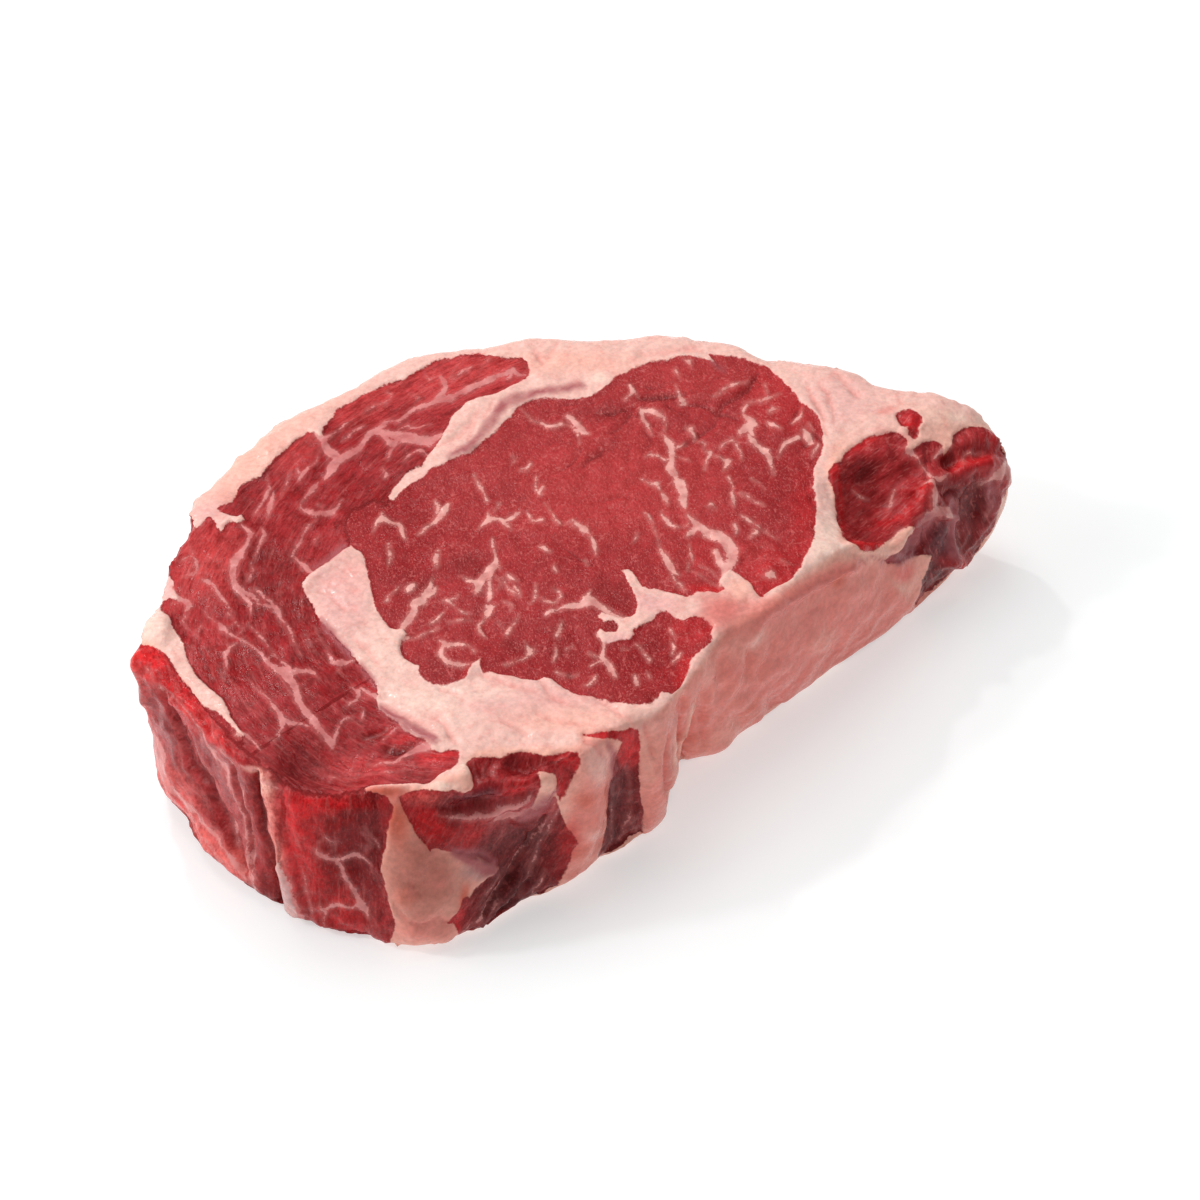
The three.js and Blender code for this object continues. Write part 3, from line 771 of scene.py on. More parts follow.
@dataclass(frozen=True)
class CutFace(SeenPatch):
    """The muscles, seams and marbling that the knife laid open; first the eye, then the cap round it."""

    lean: tuple[Places, ...] = outlines(
        (384, 506, 392, 500, 400, 493, 408, 487, 416, 482, 424, 476, 430, 470, 440, 465, 450, 461, 458, 458,
         463, 454, 470, 450, 478, 445, 486, 440, 494, 434, 500, 428, 505, 423, 511, 417, 515, 411, 520, 407,
         530, 402, 541, 400, 552, 399, 566, 399, 580, 398, 592, 394, 601, 390, 608, 386, 612, 380, 616, 375,
         628, 371, 638, 367, 648, 363, 660, 360, 672, 358, 688, 357, 698, 359, 708, 362, 717, 364, 712, 359,
         706, 353, 720, 355, 734, 357, 748, 360, 758, 364, 768, 369, 776, 375, 783, 381, 790, 389, 795, 395,
         800, 401, 807, 407, 813, 412, 818, 417, 821, 424, 823, 433, 823, 445, 821, 453, 818, 462, 815, 471,
         814, 484, 814, 496, 816, 508, 816, 522, 814, 536, 811, 547, 808, 556, 804, 563, 798, 570, 793, 577,
         786, 586, 778, 589, 772, 593, 768, 599, 765, 604, 758, 596, 751, 585, 744, 580, 737, 574, 729, 570,
         722, 574, 718, 582, 724, 588, 716, 592, 706, 592, 698, 592, 690, 597, 684, 599, 676, 596, 668, 593,
         658, 591, 650, 590, 643, 588, 638, 582, 633, 576, 628, 570, 622, 570, 625, 578, 629, 585, 633, 592,
         636, 599, 638, 607, 636, 614, 630, 618, 622, 619, 612, 615, 602, 612, 598, 618, 604, 622, 614, 621,
         619, 626, 616, 631, 606, 632, 600, 630, 597, 635, 603, 641, 610, 642, 620, 640, 630, 640, 633, 634,
         630, 629, 637, 626, 645, 624, 652, 620, 656, 614, 659, 610, 666, 611, 672, 614, 678, 619, 684, 621,
         689, 618, 696, 616, 703, 617, 710, 621, 713, 627, 711, 633, 714, 638, 710, 644, 704, 650, 697, 655,
         690, 661, 688, 668, 686, 678, 684, 686, 681, 693, 668, 693, 659, 692, 656, 698, 648, 706, 634, 706,
         620, 705, 608, 703, 598, 699, 588, 696, 578, 695, 569, 691, 561, 686, 553, 681, 544, 679, 536, 682,
         524, 681, 510, 678, 498, 675, 490, 673, 482, 674, 479, 668, 480, 661, 474, 665, 469, 671, 467, 678,
         458, 682, 448, 685, 440, 686, 433, 684, 426, 681, 421, 676, 418, 670, 419, 667, 412, 665, 406, 659,
         402, 654, 400, 648, 402, 641, 408, 635, 404, 630, 397, 630, 390, 627, 384, 621, 380, 613, 376, 606,
         374, 598, 371, 588, 368, 578, 365, 566, 362, 553, 350, 545, 344, 530, 350, 512, 370, 502, 380, 502),
        (302, 586, 309, 578, 318, 571, 328, 564, 337, 557, 345, 551, 352, 545, 360, 546, 372, 552, 384, 540,
         394, 522, 396, 508, 390, 502, 387, 497, 392, 491, 398, 485, 403, 478, 409, 472, 415, 468, 421, 468,
         425, 461, 431, 453, 437, 446, 441, 439, 444, 431, 448, 424, 452, 417, 457, 411, 463, 407, 470, 403,
         477, 400, 484, 398, 492, 396, 500, 393, 507, 390, 513, 386, 520, 384, 527, 381, 531, 376, 531, 370,
         527, 363, 521, 359, 511, 358, 500, 357, 488, 356, 474, 356, 460, 356, 450, 358, 441, 360, 433, 363,
         425, 368, 416, 373, 408, 377, 400, 381, 390, 383, 380, 387, 370, 392, 362, 396, 354, 401, 347, 405,
         341, 408, 336, 409, 334, 414, 332, 420, 328, 424, 325, 430, 323, 438, 319, 438, 314, 433, 306, 431,
         301, 435, 296, 440, 290, 445, 284, 451, 277, 458, 273, 464, 268, 470, 261, 476, 254, 479, 247, 482,
         242, 485, 239, 489, 235, 494, 232, 500, 226, 503, 219, 506, 217, 510, 222, 513, 230, 515, 237, 516,
         242, 514, 246, 519, 238, 524, 230, 522, 225, 526, 222, 533, 218, 530, 214, 522, 209, 517, 204, 521,
         197, 526, 190, 532, 184, 539, 180, 546, 177, 554, 175, 561, 170, 568, 166, 574, 171, 578, 174, 584,
         171, 590, 175, 594, 180, 599, 176, 601, 169, 599, 164, 602, 161, 610, 164, 616, 170, 619, 173, 626,
         176, 632, 181, 638, 183, 645, 184, 653, 188, 663, 193, 671, 199, 678, 205, 684, 211, 690, 221, 699,
         229, 713, 238, 727, 244, 737, 240, 746, 240, 762, 250, 780, 268, 788, 280, 802, 300, 812, 322, 814,
         346, 812, 357, 800, 363, 790, 378, 789, 392, 787, 406, 786, 420, 785, 430, 784, 437, 779, 443, 774,
         452, 770, 457, 765, 461, 758, 460, 752, 449, 751, 440, 752, 432, 750, 430, 745, 424, 741, 416, 739,
         410, 735, 405, 729, 399, 724, 392, 720, 385, 714, 379, 708, 377, 702, 378, 696, 377, 689, 374, 682,
         369, 675, 363, 668, 356, 660, 350, 653, 344, 647, 338, 640, 332, 633, 326, 626, 320, 619, 315, 611,
         311, 603, 307, 595),
        (828, 480, 846, 452, 880, 432, 940, 442, 985, 430, 1008, 450, 1018, 480, 990, 505, 930, 530, 880, 545,
         850, 547, 836, 515),
        (128, 650, 150, 644, 166, 656, 176, 671, 192, 692, 201, 705, 218, 713, 229, 722, 238, 734, 248, 744,
         262, 775, 245, 790, 190, 740, 140, 690),
    )
    veins: tuple[Stroke, ...] = strokes(
        (521, 409, 1, 527, 416, 2, 533, 421, 3, 541, 423, 2, 548, 426, 6, 555, 426, 7, 561, 423, 4),
        (563, 423, 1, 572, 424, 1.5, 578, 430, 2, 580, 440, 1.5, 579, 446, 0.5),
        (567, 415, 4, 573, 418, 7, 579, 424, 6, 584, 430, 6, 589, 432, 1),
        (512, 456, 1, 515, 460, 2.5, 513, 465, 1), (522, 471, 4, 527, 470, 3, 531, 465, 3, 529, 461, 1),
        (474, 475, 3, 478, 482, 3, 482, 491, 2, 485, 500, 2), (537, 478, 0.5, 536, 488, 2, 538, 493, 1),
        (630, 385, 3, 633, 391, 5, 629, 397, 3, 624, 400, 2), (633, 392, 3, 637, 397, 1),
        (641, 410, 3, 646, 411, 5, 653, 412, 5, 660, 416, 3, 665, 422, 2, 664, 430, 1.5, 660, 438, 1),
        (642, 411, 5, 644, 420, 5, 648, 428, 5, 652, 435, 2),
        (663, 436, 3, 667, 441, 6, 672, 446, 7, 673, 453, 8, 671, 460, 9, 669, 467, 10, 672, 474, 9,
         675, 480, 3),
        (687, 444, 2, 680, 447, 4, 674, 449, 5),
        (645, 456, 1, 651, 453, 4, 657, 456, 4, 663, 459, 4, 670, 460, 6),
        (673, 457, 5, 681, 458, 3, 690, 460, 1),
        (673, 482, 4, 679, 484, 11, 683, 492, 9, 682, 500, 8, 684, 508, 3),
        (641, 478, 1, 649, 481, 3, 657, 484, 5, 661, 490, 2), (662, 493, 3, 666, 498, 5, 668, 503, 1),
        (676, 384, 1, 678, 390, 3, 680, 396, 4, 684, 402, 5, 680, 405, 2),
        (687, 427, 3, 692, 430, 7, 697, 436, 3), (682, 360, 1, 688, 363, 4, 691, 369, 1),
        (676, 369, 1, 678, 374, 2.5, 680, 378, 0.5),
        (714, 398, 0.5, 720, 395, 1.5, 727, 388, 2, 737, 384, 2, 746, 382, 0.5),
        (780, 394, 1, 772, 397, 2, 764, 401, 3, 755, 403, 2, 747, 404, 3, 743, 409, 4, 742, 415, 3,
         746, 419, 7, 752, 423, 11, 758, 425, 3),
        (751, 424, 9, 746, 429, 9, 741, 433, 6, 738, 438, 2), (751, 428, 8, 754, 434, 6),
        (749, 437, 5, 754, 442, 8, 760, 448, 7, 765, 452, 9, 769, 457, 6, 770, 465, 3, 773, 473, 1),
        (737, 443, 1, 731, 440, 3, 725, 443, 3, 721, 448, 1), (734, 443, 2, 740, 451, 2, 741, 461, 0.5),
        (715, 455, 1, 722, 457, 5, 727, 461, 6, 724, 468, 4, 722, 473, 1),
        (705, 449, 1, 711, 452, 4, 707, 460, 2, 706, 469, 0.5), (700, 440, 2, 705, 442, 3, 702, 447, 1),
        (768, 413, 3, 773, 409, 5, 778, 409, 2), (768, 425, 2, 774, 427, 6, 781, 431, 3),
        (801, 408, 2, 799, 414, 4, 796, 418, 5, 792, 422, 2),
        (803, 429, 3, 806, 436, 7, 809, 441, 6, 813, 443, 2), (808, 425, 1.5, 811, 431, 1),
        (797, 437, 5, 791, 441, 5, 785, 444, 6, 781, 450, 4, 778, 457, 1),
        (818, 445, 4, 815, 451, 4, 812, 457, 1), (764, 386, 2, 766, 392, 3, 765, 397, 1),
        (733, 487, 1, 731, 493, 4, 733, 499, 7, 735, 506, 2), (727, 479, 1, 732, 487, 1.5),
        (751, 480, 0.5, 760, 485, 2, 764, 489, 0.5), (736, 524, 3, 738, 529, 4, 737, 534, 1),
        (751, 537, 3, 757, 533, 4, 753, 529, 1),
        (742, 515, 0.5, 748, 520, 2.5, 754, 525, 1.5, 767, 533, 1, 780, 540, 0.5),
        (740, 493, 0.5, 752, 500, 1.5, 763, 506, 0.5), (708, 508, 1, 711, 505, 3, 715, 508, 1),
        (433, 500, 1, 437, 508, 3, 438, 518, 2),
        (448, 506, 4, 444, 512, 8, 440, 517, 7, 431, 524, 3, 425, 530, 3, 419, 535, 1),
        (374, 531, 2, 378, 525, 4, 384, 520, 6, 392, 522, 3, 399, 524, 3, 402, 530, 6, 404, 538, 4),
        (384, 520, 3, 382, 514, 2), (387, 544, 1, 389, 556, 2.5, 388, 567, 0.5),
        (438, 551, 3, 435, 560, 6, 437, 567, 3),
        (433, 577, 2, 431, 585, 5, 427, 593, 7, 421, 600, 9, 413, 605, 8, 412, 613, 7, 407, 622, 8,
         402, 631, 9),
        (427, 595, 7, 433, 592, 4, 436, 587, 1), (412, 605, 5, 416, 602, 5),
        (443, 601, 2, 448, 603, 4, 454, 599, 3, 458, 595, 1),
        (448, 603, 3, 455, 608, 2, 462, 612, 3, 468, 613, 2), (408, 589, 4, 412, 586, 6),
        (385, 601, 1, 391, 596, 2, 398, 588, 1), (403, 638, 5, 415, 637, 3, 426, 634, 3, 438, 629, 2),
        (430, 625, 3, 438, 620, 3, 446, 612, 0.5), (450, 624, 1, 459, 622, 3, 470, 620, 2, 466, 615, 1),
        (438, 641, 1, 444, 644, 4, 441, 651, 6, 440, 657, 6, 446, 662, 5, 454, 665, 3, 464, 666, 3,
         475, 664, 1),
        (442, 649, 4, 449, 646, 4, 459, 646, 3, 469, 647, 2, 474, 654, 1), (437, 655, 4, 441, 649, 4),
        (493, 541, 2, 493, 549, 5, 495, 557, 6, 496, 564, 9, 490, 572, 11, 483, 579, 9, 478, 586, 9,
         475, 593, 4),
        (461, 576, 1, 467, 579, 4, 475, 582, 4, 482, 582, 6), (496, 563, 6, 501, 569, 3),
        (492, 574, 8, 490, 583, 5, 488, 591, 8, 487, 599, 3),
        (485, 605, 4, 490, 608, 9, 487, 614, 9, 494, 606, 4),
        (487, 616, 2, 478, 625, 4, 480, 632, 5, 485, 637, 2), (497, 590, 1, 503, 583, 1, 497, 577, 1),
        (503, 577, 1, 508, 588, 2, 514, 596, 2), (509, 576, 3, 515, 580, 2), (515, 587, 3, 518, 597, 3),
        (504, 602, 1, 512, 606, 1.5, 509, 612, 1), (535, 585, 2, 536, 592, 2), (531, 603, 3, 536, 597, 3),
        (544, 600, 1, 553, 602, 2, 559, 596, 3, 558, 590, 2, 552, 588, 2),
        (479, 530, 2, 483, 524, 5, 488, 520, 6, 496, 520, 3, 506, 521, 3, 511, 519, 4, 516, 515, 5,
         520, 513, 2),
        (488, 519, 5, 487, 512, 2), (504, 522, 4, 508, 527, 5, 511, 531, 1), (495, 512, 1.5, 498, 505, 1),
        (530, 518, 4, 527, 513, 2), (531, 522, 1.5, 542, 520, 1.5),
        (544, 502, 1, 550, 510, 3, 554, 516, 4, 559, 523, 3), (539, 493, 3, 543, 487, 2),
        (566, 522, 1, 573, 522, 4, 579, 526, 5, 585, 530, 8, 588, 534, 3),
        (588, 533, 1, 592, 538, 1.5, 595, 543, 5, 597, 549, 6, 597, 555, 1),
        (539, 549, 2, 545, 551, 6, 550, 553, 2), (585, 561, 2, 588, 564, 3), (553, 568, 3, 556, 571, 1),
        (547, 615, 4, 553, 611, 5, 561, 607, 4, 571, 605, 5, 580, 604, 6, 588, 601, 11, 595, 601, 8,
         601, 607, 5, 609, 612, 5, 617, 617, 6, 624, 621, 7),
        (589, 598, 6, 592, 592, 1), (562, 622, 1, 560, 630, 4, 556, 637, 3),
        (555, 646, 1, 556, 654, 3, 553, 661, 1), (567, 648, 2, 572, 645, 2),
        (520, 615, 2, 516, 622, 4, 511, 628, 4, 506, 635, 3), (497, 621, 1, 503, 628, 1.5),
        (525, 641, 1, 528, 647, 4, 531, 652, 8, 526, 658, 4, 518, 662, 3, 506, 664, 2),
        (604, 640, 5, 604, 648, 4, 601, 656, 5, 606, 662, 6, 612, 669, 5, 617, 677, 2),
        (588, 652, 1, 596, 656, 2, 603, 655, 3), (591, 665, 2, 600, 660, 3),
        (581, 685, 1, 588, 684, 4, 594, 680, 3, 597, 676, 1), (556, 672, 0.5, 566, 675, 1.2, 578, 673, 0.5),
        (598, 636, 5, 608, 637, 6, 618, 635, 6, 628, 633, 5), (636, 644, 2, 643, 651, 3, 650, 658, 2),
        (670, 629, 2, 674, 637, 2), (671, 641, 2, 674, 648, 4, 671, 653, 1),
        (671, 663, 2, 678, 657, 4, 681, 654, 1), (636, 676, 3, 638, 684, 5), (648, 671, 1, 651, 679, 2),
        (622, 648, 1.5, 629, 650, 1), (642, 514, 1, 648, 518, 3, 652, 521, 1),
        (651, 524, 0.5, 656, 535, 1.5, 659, 545, 2),
        (659, 544, 2, 663, 552, 6, 667, 560, 7, 672, 568, 8, 677, 574, 3),
        (671, 574, 1.5, 676, 583, 2, 684, 592, 1),
        (660, 509, 2, 664, 516, 5, 669, 522, 6, 676, 525, 4, 684, 525, 2, 691, 523, 3),
        (688, 515, 4, 694, 520, 7, 700, 526, 10, 693, 531, 8, 688, 535, 3),
        (699, 525, 8, 709, 532, 9, 719, 537, 11, 727, 543, 13, 732, 551, 13, 733, 560, 10, 728, 568, 8,
         723, 575, 6, 720, 584, 4),
        (717, 553, 6, 721, 563, 8, 726, 572, 9), (690, 545, 2, 691, 553, 6, 692, 560, 1),
        (687, 562, 2, 686, 570, 2), (701, 564, 0.5, 710, 570, 1.5, 718, 577, 0.5),
        (691, 570, 0.5, 700, 575, 1.2, 713, 583, 0.5), (632, 543, 1, 635, 537, 2, 638, 532, 1),
        (764, 575, 4, 770, 574, 7, 774, 577, 2), (781, 563, 1, 791, 565, 1),
        (441, 375, 3, 445, 381, 7, 447, 387, 7, 443, 393, 6, 437, 398, 6, 432, 403, 6),
        (400, 420, 5, 407, 415, 5, 415, 410, 5, 424, 406, 5, 433, 403, 7, 442, 400, 7, 451, 397, 9,
         459, 394, 6, 467, 390, 9, 475, 386, 7, 485, 382, 5, 495, 377, 6, 505, 374, 6, 513, 371, 7,
         519, 376, 4, 527, 376, 2),
        (513, 371, 5, 509, 378, 4, 501, 380, 2), (453, 379, 1, 460, 374, 3, 466, 371, 2, 473, 368, 1),
        (458, 363, 0.5, 452, 374, 1, 448, 382, 0.5), (478, 373, 0.5, 486, 364, 1.2, 491, 359, 0.5),
        (400, 419, 5, 391, 420, 4, 384, 424, 7, 376, 429, 8, 370, 434, 7, 366, 440, 6, 363, 445, 7,
         358, 451, 9, 350, 455, 9, 343, 458, 10, 335, 462, 11, 332, 468, 13, 328, 475, 8, 325, 480, 2),
        (376, 430, 9, 384, 434, 9, 392, 435, 8, 401, 437, 11, 411, 439, 12, 421, 441, 11, 431, 440, 12,
         440, 435, 8),
        (384, 437, 5, 389, 443, 6, 397, 444, 3), (399, 442, 4, 394, 447, 3, 391, 453, 3, 387, 459, 1),
        (318, 436, 7, 323, 442, 8, 325, 449, 10, 330, 454, 10, 337, 458, 10),
        (325, 441, 6, 333, 437, 4, 340, 431, 3, 346, 425, 3, 353, 420, 1),
        (341, 441, 1, 347, 437, 3, 352, 431, 3, 358, 428, 3, 365, 425, 1),
        (361, 414, 1, 368, 409, 3, 376, 405, 3, 384, 402, 2, 391, 399, 0.5),
        (387, 392, 0.5, 392, 396, 1.5, 389, 400, 0.5), (411, 394, 0.5, 418, 397, 2, 415, 402, 0.5),
        (425, 373, 0.5, 430, 379, 2, 435, 375, 1),
        (403, 462, 1, 408, 455, 3, 416, 451, 4, 424, 452, 4, 430, 457, 1),
        (398, 429, 0.5, 408, 425, 1.2, 419, 428, 1.5, 429, 424, 0.5), (383, 468, 1, 387, 474, 4, 383, 478, 1),
        (319, 449, 1, 317, 460, 2, 310, 468, 3, 304, 474, 5, 300, 479, 2),
        (297, 462, 1, 297, 471, 3, 300, 478, 3), (290, 470, 0.5, 286, 484, 2.5, 281, 494, 1),
        (268, 476, 0.5, 270, 488, 4, 266, 498, 5, 260, 506, 3, 253, 514, 1),
        (274, 490, 3, 272, 503, 6, 269, 514, 3),
        (321, 479, 2, 316, 485, 6, 312, 490, 6, 307, 495, 4, 302, 502, 4, 300, 508, 3, 307, 512, 3,
         315, 516, 6, 324, 514, 6, 332, 512, 7, 338, 507, 4, 341, 499, 1),
        (316, 505, 1, 322, 508, 2),
        (317, 520, 1, 307, 526, 3, 302, 534, 3, 300, 541, 5, 297, 548, 3, 293, 557, 3, 298, 563, 4,
         304, 567, 6, 309, 573, 8, 314, 577, 4),
        (320, 534, 0.5, 314, 538, 2, 316, 544, 0.5),
        (241, 523, 2, 246, 528, 5, 250, 534, 7, 247, 541, 6, 243, 548, 5, 240, 556, 6, 235, 563, 8,
         233, 571, 7, 234, 578, 6, 236, 585, 9, 242, 591, 6, 249, 596, 4, 257, 601, 2),
        (262, 525, 1, 265, 533, 4, 261, 541, 4, 258, 549, 5, 253, 559, 1),
        (249, 562, 1, 252, 570, 3, 248, 579, 1), (241, 591, 4, 244, 598, 4, 249, 605, 3, 250, 613, 1),
        (254, 591, 1, 263, 598, 3, 271, 603, 4, 278, 610, 5, 281, 619, 2),
        (257, 604, 2, 267, 606, 3, 276, 606, 3),
        (199, 579, 3, 207, 583, 4, 214, 590, 3, 221, 598, 3, 228, 606, 2, 234, 613, 1),
        (183, 575, 1, 190, 573, 3, 196, 570, 3, 197, 562, 3, 193, 556, 2, 186, 557, 3, 180, 561, 1),
        (191, 546, 0.5, 194, 553, 2), (171, 589, 6, 177, 597, 5, 184, 601, 5, 190, 606, 7, 187, 612, 4),
        (205, 611, 2, 210, 617, 3, 216, 620, 3, 221, 626, 6, 227, 632, 4, 235, 637, 3, 244, 642, 3,
         253, 649, 5, 261, 655, 4, 268, 662, 5, 276, 668, 8, 285, 672, 10, 290, 679, 7),
        (227, 613, 3, 233, 618, 1), (218, 620, 1.5, 220, 633, 0.5),
        (228, 628, 1.5, 236, 622, 2, 242, 627, 1.5, 239, 635, 1), (187, 628, 2, 184, 620, 4, 188, 615, 2),
        (195, 633, 1, 200, 626, 3, 197, 637, 1),
        (239, 644, 1, 232, 648, 4, 226, 655, 4, 225, 665, 4, 223, 676, 1),
        (247, 622, 1, 252, 630, 2, 260, 638, 2, 268, 647, 3, 277, 655, 2, 285, 664, 3, 290, 671, 4),
        (267, 660, 2, 272, 654, 4, 279, 657, 3, 282, 663, 1),
        (290, 674, 5, 298, 671, 4, 306, 670, 5, 314, 673, 3, 319, 679, 1),
        (288, 676, 9, 293, 685, 7, 298, 693, 8, 302, 702, 7, 306, 710, 9, 312, 720, 10, 318, 729, 6,
         324, 737, 5, 330, 744, 8, 333, 752, 3),
        (333, 747, 4, 335, 736, 3, 340, 727, 3, 346, 720, 2, 353, 717, 0.5),
        (249, 680, 1, 256, 688, 3, 264, 694, 3, 272, 702, 5, 278, 711, 5, 284, 720, 6, 292, 722, 5,
         300, 723, 4, 307, 725, 2),
        (284, 722, 5, 280, 730, 4, 277, 739, 1), (236, 734, 4, 247, 738, 5, 254, 744, 2, 260, 752, 1),
        (267, 741, 2, 275, 741, 3, 280, 736, 1),
        (352, 687, 2, 358, 692, 4, 357, 700, 5, 350, 704, 4, 345, 709, 1),
        (361, 689, 3, 369, 694, 6, 377, 698, 6), (364, 711, 2, 362, 721, 1),
        (329, 663, 1, 338, 664, 6, 346, 664, 6, 353, 661, 4), (342, 667, 4, 338, 673, 2),
        (325, 648, 0.5, 330, 657, 3, 335, 664, 3), (303, 632, 0.5, 310, 644, 1.5, 319, 656, 0.5),
        (314, 626, 0.5, 321, 637, 1.2, 328, 648, 0.5),
        (280, 618, 2, 288, 629, 2, 294, 641, 1.5, 301, 654, 0.5),
        (366, 763, 1, 372, 766, 2, 380, 762, 4, 391, 762, 3, 403, 761, 1),
        (383, 755, 0.5, 390, 748, 2, 397, 741, 0.5), (383, 740, 1, 392, 732, 3, 401, 726, 4),
        (434, 743, 7, 425, 747, 9, 416, 752, 6, 407, 757, 4, 397, 760, 2),
        (361, 734, 1, 370, 737, 2, 380, 733, 1.5, 387, 729, 0.5), (329, 781, 1, 332, 776, 3, 339, 775, 1),
        (354, 772, 0.5, 372, 774, 1.5, 392, 773, 1.5, 413, 768, 0.5),
    )
    silver: tuple[Stroke, ...] = strokes(
        (585, 386, 2, 572, 388, 5, 560, 390, 6, 550, 392, 7, 538, 394, 7, 526, 397, 8),
        (526, 397, 9, 515, 401, 11, 506, 404, 9, 500, 412, 8, 494, 421, 8, 486, 430, 9),
        (486, 430, 9, 476, 439, 7, 468, 446, 7, 460, 453, 4, 450, 458, 2),
        (315, 568, 4, 325, 562, 7, 335, 554, 7, 344, 547, 4),
        (322, 620, 3, 330, 632, 7, 340, 645, 7, 350, 655, 5), (362, 666, 4, 370, 677, 6, 375, 686, 4),
        (382, 708, 4, 394, 717, 8, 408, 726, 9, 420, 734, 10, 434, 741, 6),
        (712, 363, 3, 720, 366, 4, 724, 369, 2),
    )
    fat_tint: Tint = Tint.CREAM
    lean_dabs: tuple[Dab, ...] = dabs(
        (225, 590, 80, 80, Tint.CAP, 1.0), (300, 690, 90, 90, Tint.CAP, 1.0),
        # the three GLOW dabs along the back of the cap are painted light: that edge is brightened where the
        # light from the back left falls
        (340, 470, 70, 60, Tint.CAP, 0.9), (470, 372, 70, 22, Tint.GLOW, 0.9, -14),
        (370, 400, 50, 18, Tint.GLOW, 0.8, -28), (300, 450, 26, 14, Tint.GLOW, 0.7, -45),
        (215, 560, 30, 40, Tint.GLOW, 0.9), (185, 590, 18, 50, Tint.GLOW, 0.6, 10),
        (270, 570, 30, 40, Tint.DEEP, 0.55), (300, 610, 26, 60, Tint.CRIMSON, 0.5, -30),
        (255, 480, 22, 12, Tint.DEEP, 0.5, -40), (245, 505, 14, 10, Tint.DEEP, 0.6),
        (200, 640, 40, 30, Tint.EYE), (210, 655, 24, 24, Tint.GLOW, 0.2),
        (245, 665, 22, 22, Tint.CRIMSON, 0.4), (320, 700, 22, 40, Tint.CRIMSON, 0.4, -20),
        (255, 705, 30, 18, Tint.EYE, 0.7, -40), (300, 768, 34, 24, Tint.BLOOD, 0.6, 30),
        (340, 750, 30, 14, Tint.EYE, 0.6), (355, 720, 36, 24, Tint.CAP),
        (360, 766, 44, 12, Tint.GLOW, 0.35), (398, 750, 18, 9, Tint.BLOOD, 0.85),
        (372, 735, 12, 5, Tint.CRIMSON, 0.7), (405, 741, 14, 7, Tint.RAW, 0.4),
        (440, 757, 26, 6, Tint.RAW, 0.75, -10), (420, 775, 22, 5, Tint.CRIMSON, 0.6),
        (370, 690, 12, 10, Tint.RAW, 0.4, 40), (410, 410, 30, 14, Tint.EYE, 0.5),
        (400, 480, 12, 26, Tint.DEEP, 0.5, 40), (385, 505, 40, 30, Tint.CAP, 0.7),
        (400, 560, 40, 60, Tint.CAP, 0.7), (620, 440, 110, 60, Tint.EYE, 1.0, -20),
        (640, 485, 90, 60, Tint.GLOW, 0.45), (560, 500, 60, 40, Tint.GLOW, 0.25),
        (700, 385, 60, 20, Tint.GLOW, 0.3), (780, 400, 40, 30, Tint.RAW, 0.30, 40),
        (780, 480, 40, 50, Tint.CAP, 0.5), (805, 520, 14, 50, Tint.RAW, 0.4),
        (775, 575, 34, 26, Tint.RAW, 0.45, -40), (755, 555, 20, 14, Tint.GLOW, 0.5),
        (702, 552, 16, 14, Tint.RAW, 0.35), (710, 590, 22, 6, Tint.RAW), (612, 600, 22, 20, Tint.DEEP, 0.5),
        (615, 626, 10, 6, Tint.DEEP), (600, 560, 60, 26, Tint.CAP, 0.3), (540, 650, 80, 30, Tint.CAP, 0.6),
        (645, 655, 60, 44, Tint.CAP, 0.9), (690, 630, 26, 16, Tint.RAW, 0.5),
        (684, 675, 10, 22, Tint.RAW, 0.7, 10), (640, 700, 50, 8, Tint.CRIMSON, 0.4),
        (440, 670, 26, 16, Tint.DEEP, 0.35), (470, 565, 20, 14, Tint.DEEP, 0.6),
        (420, 590, 16, 12, Tint.DEEP, 0.35), (478, 600, 12, 26, Tint.DEEP, 0.3),
        (515, 645, 14, 8, Tint.DEEP, 0.6), (505, 495, 24, 16, Tint.DEEP, 0.2),
        (610, 412, 26, 8, Tint.DEEP, 0.5), (600, 452, 22, 6, Tint.DEEP, 0.4, -30),
        (740, 398, 26, 5, Tint.DEEP, 0.4, -40), (660, 396, 30, 6, Tint.DEEP, 0.45),
    )
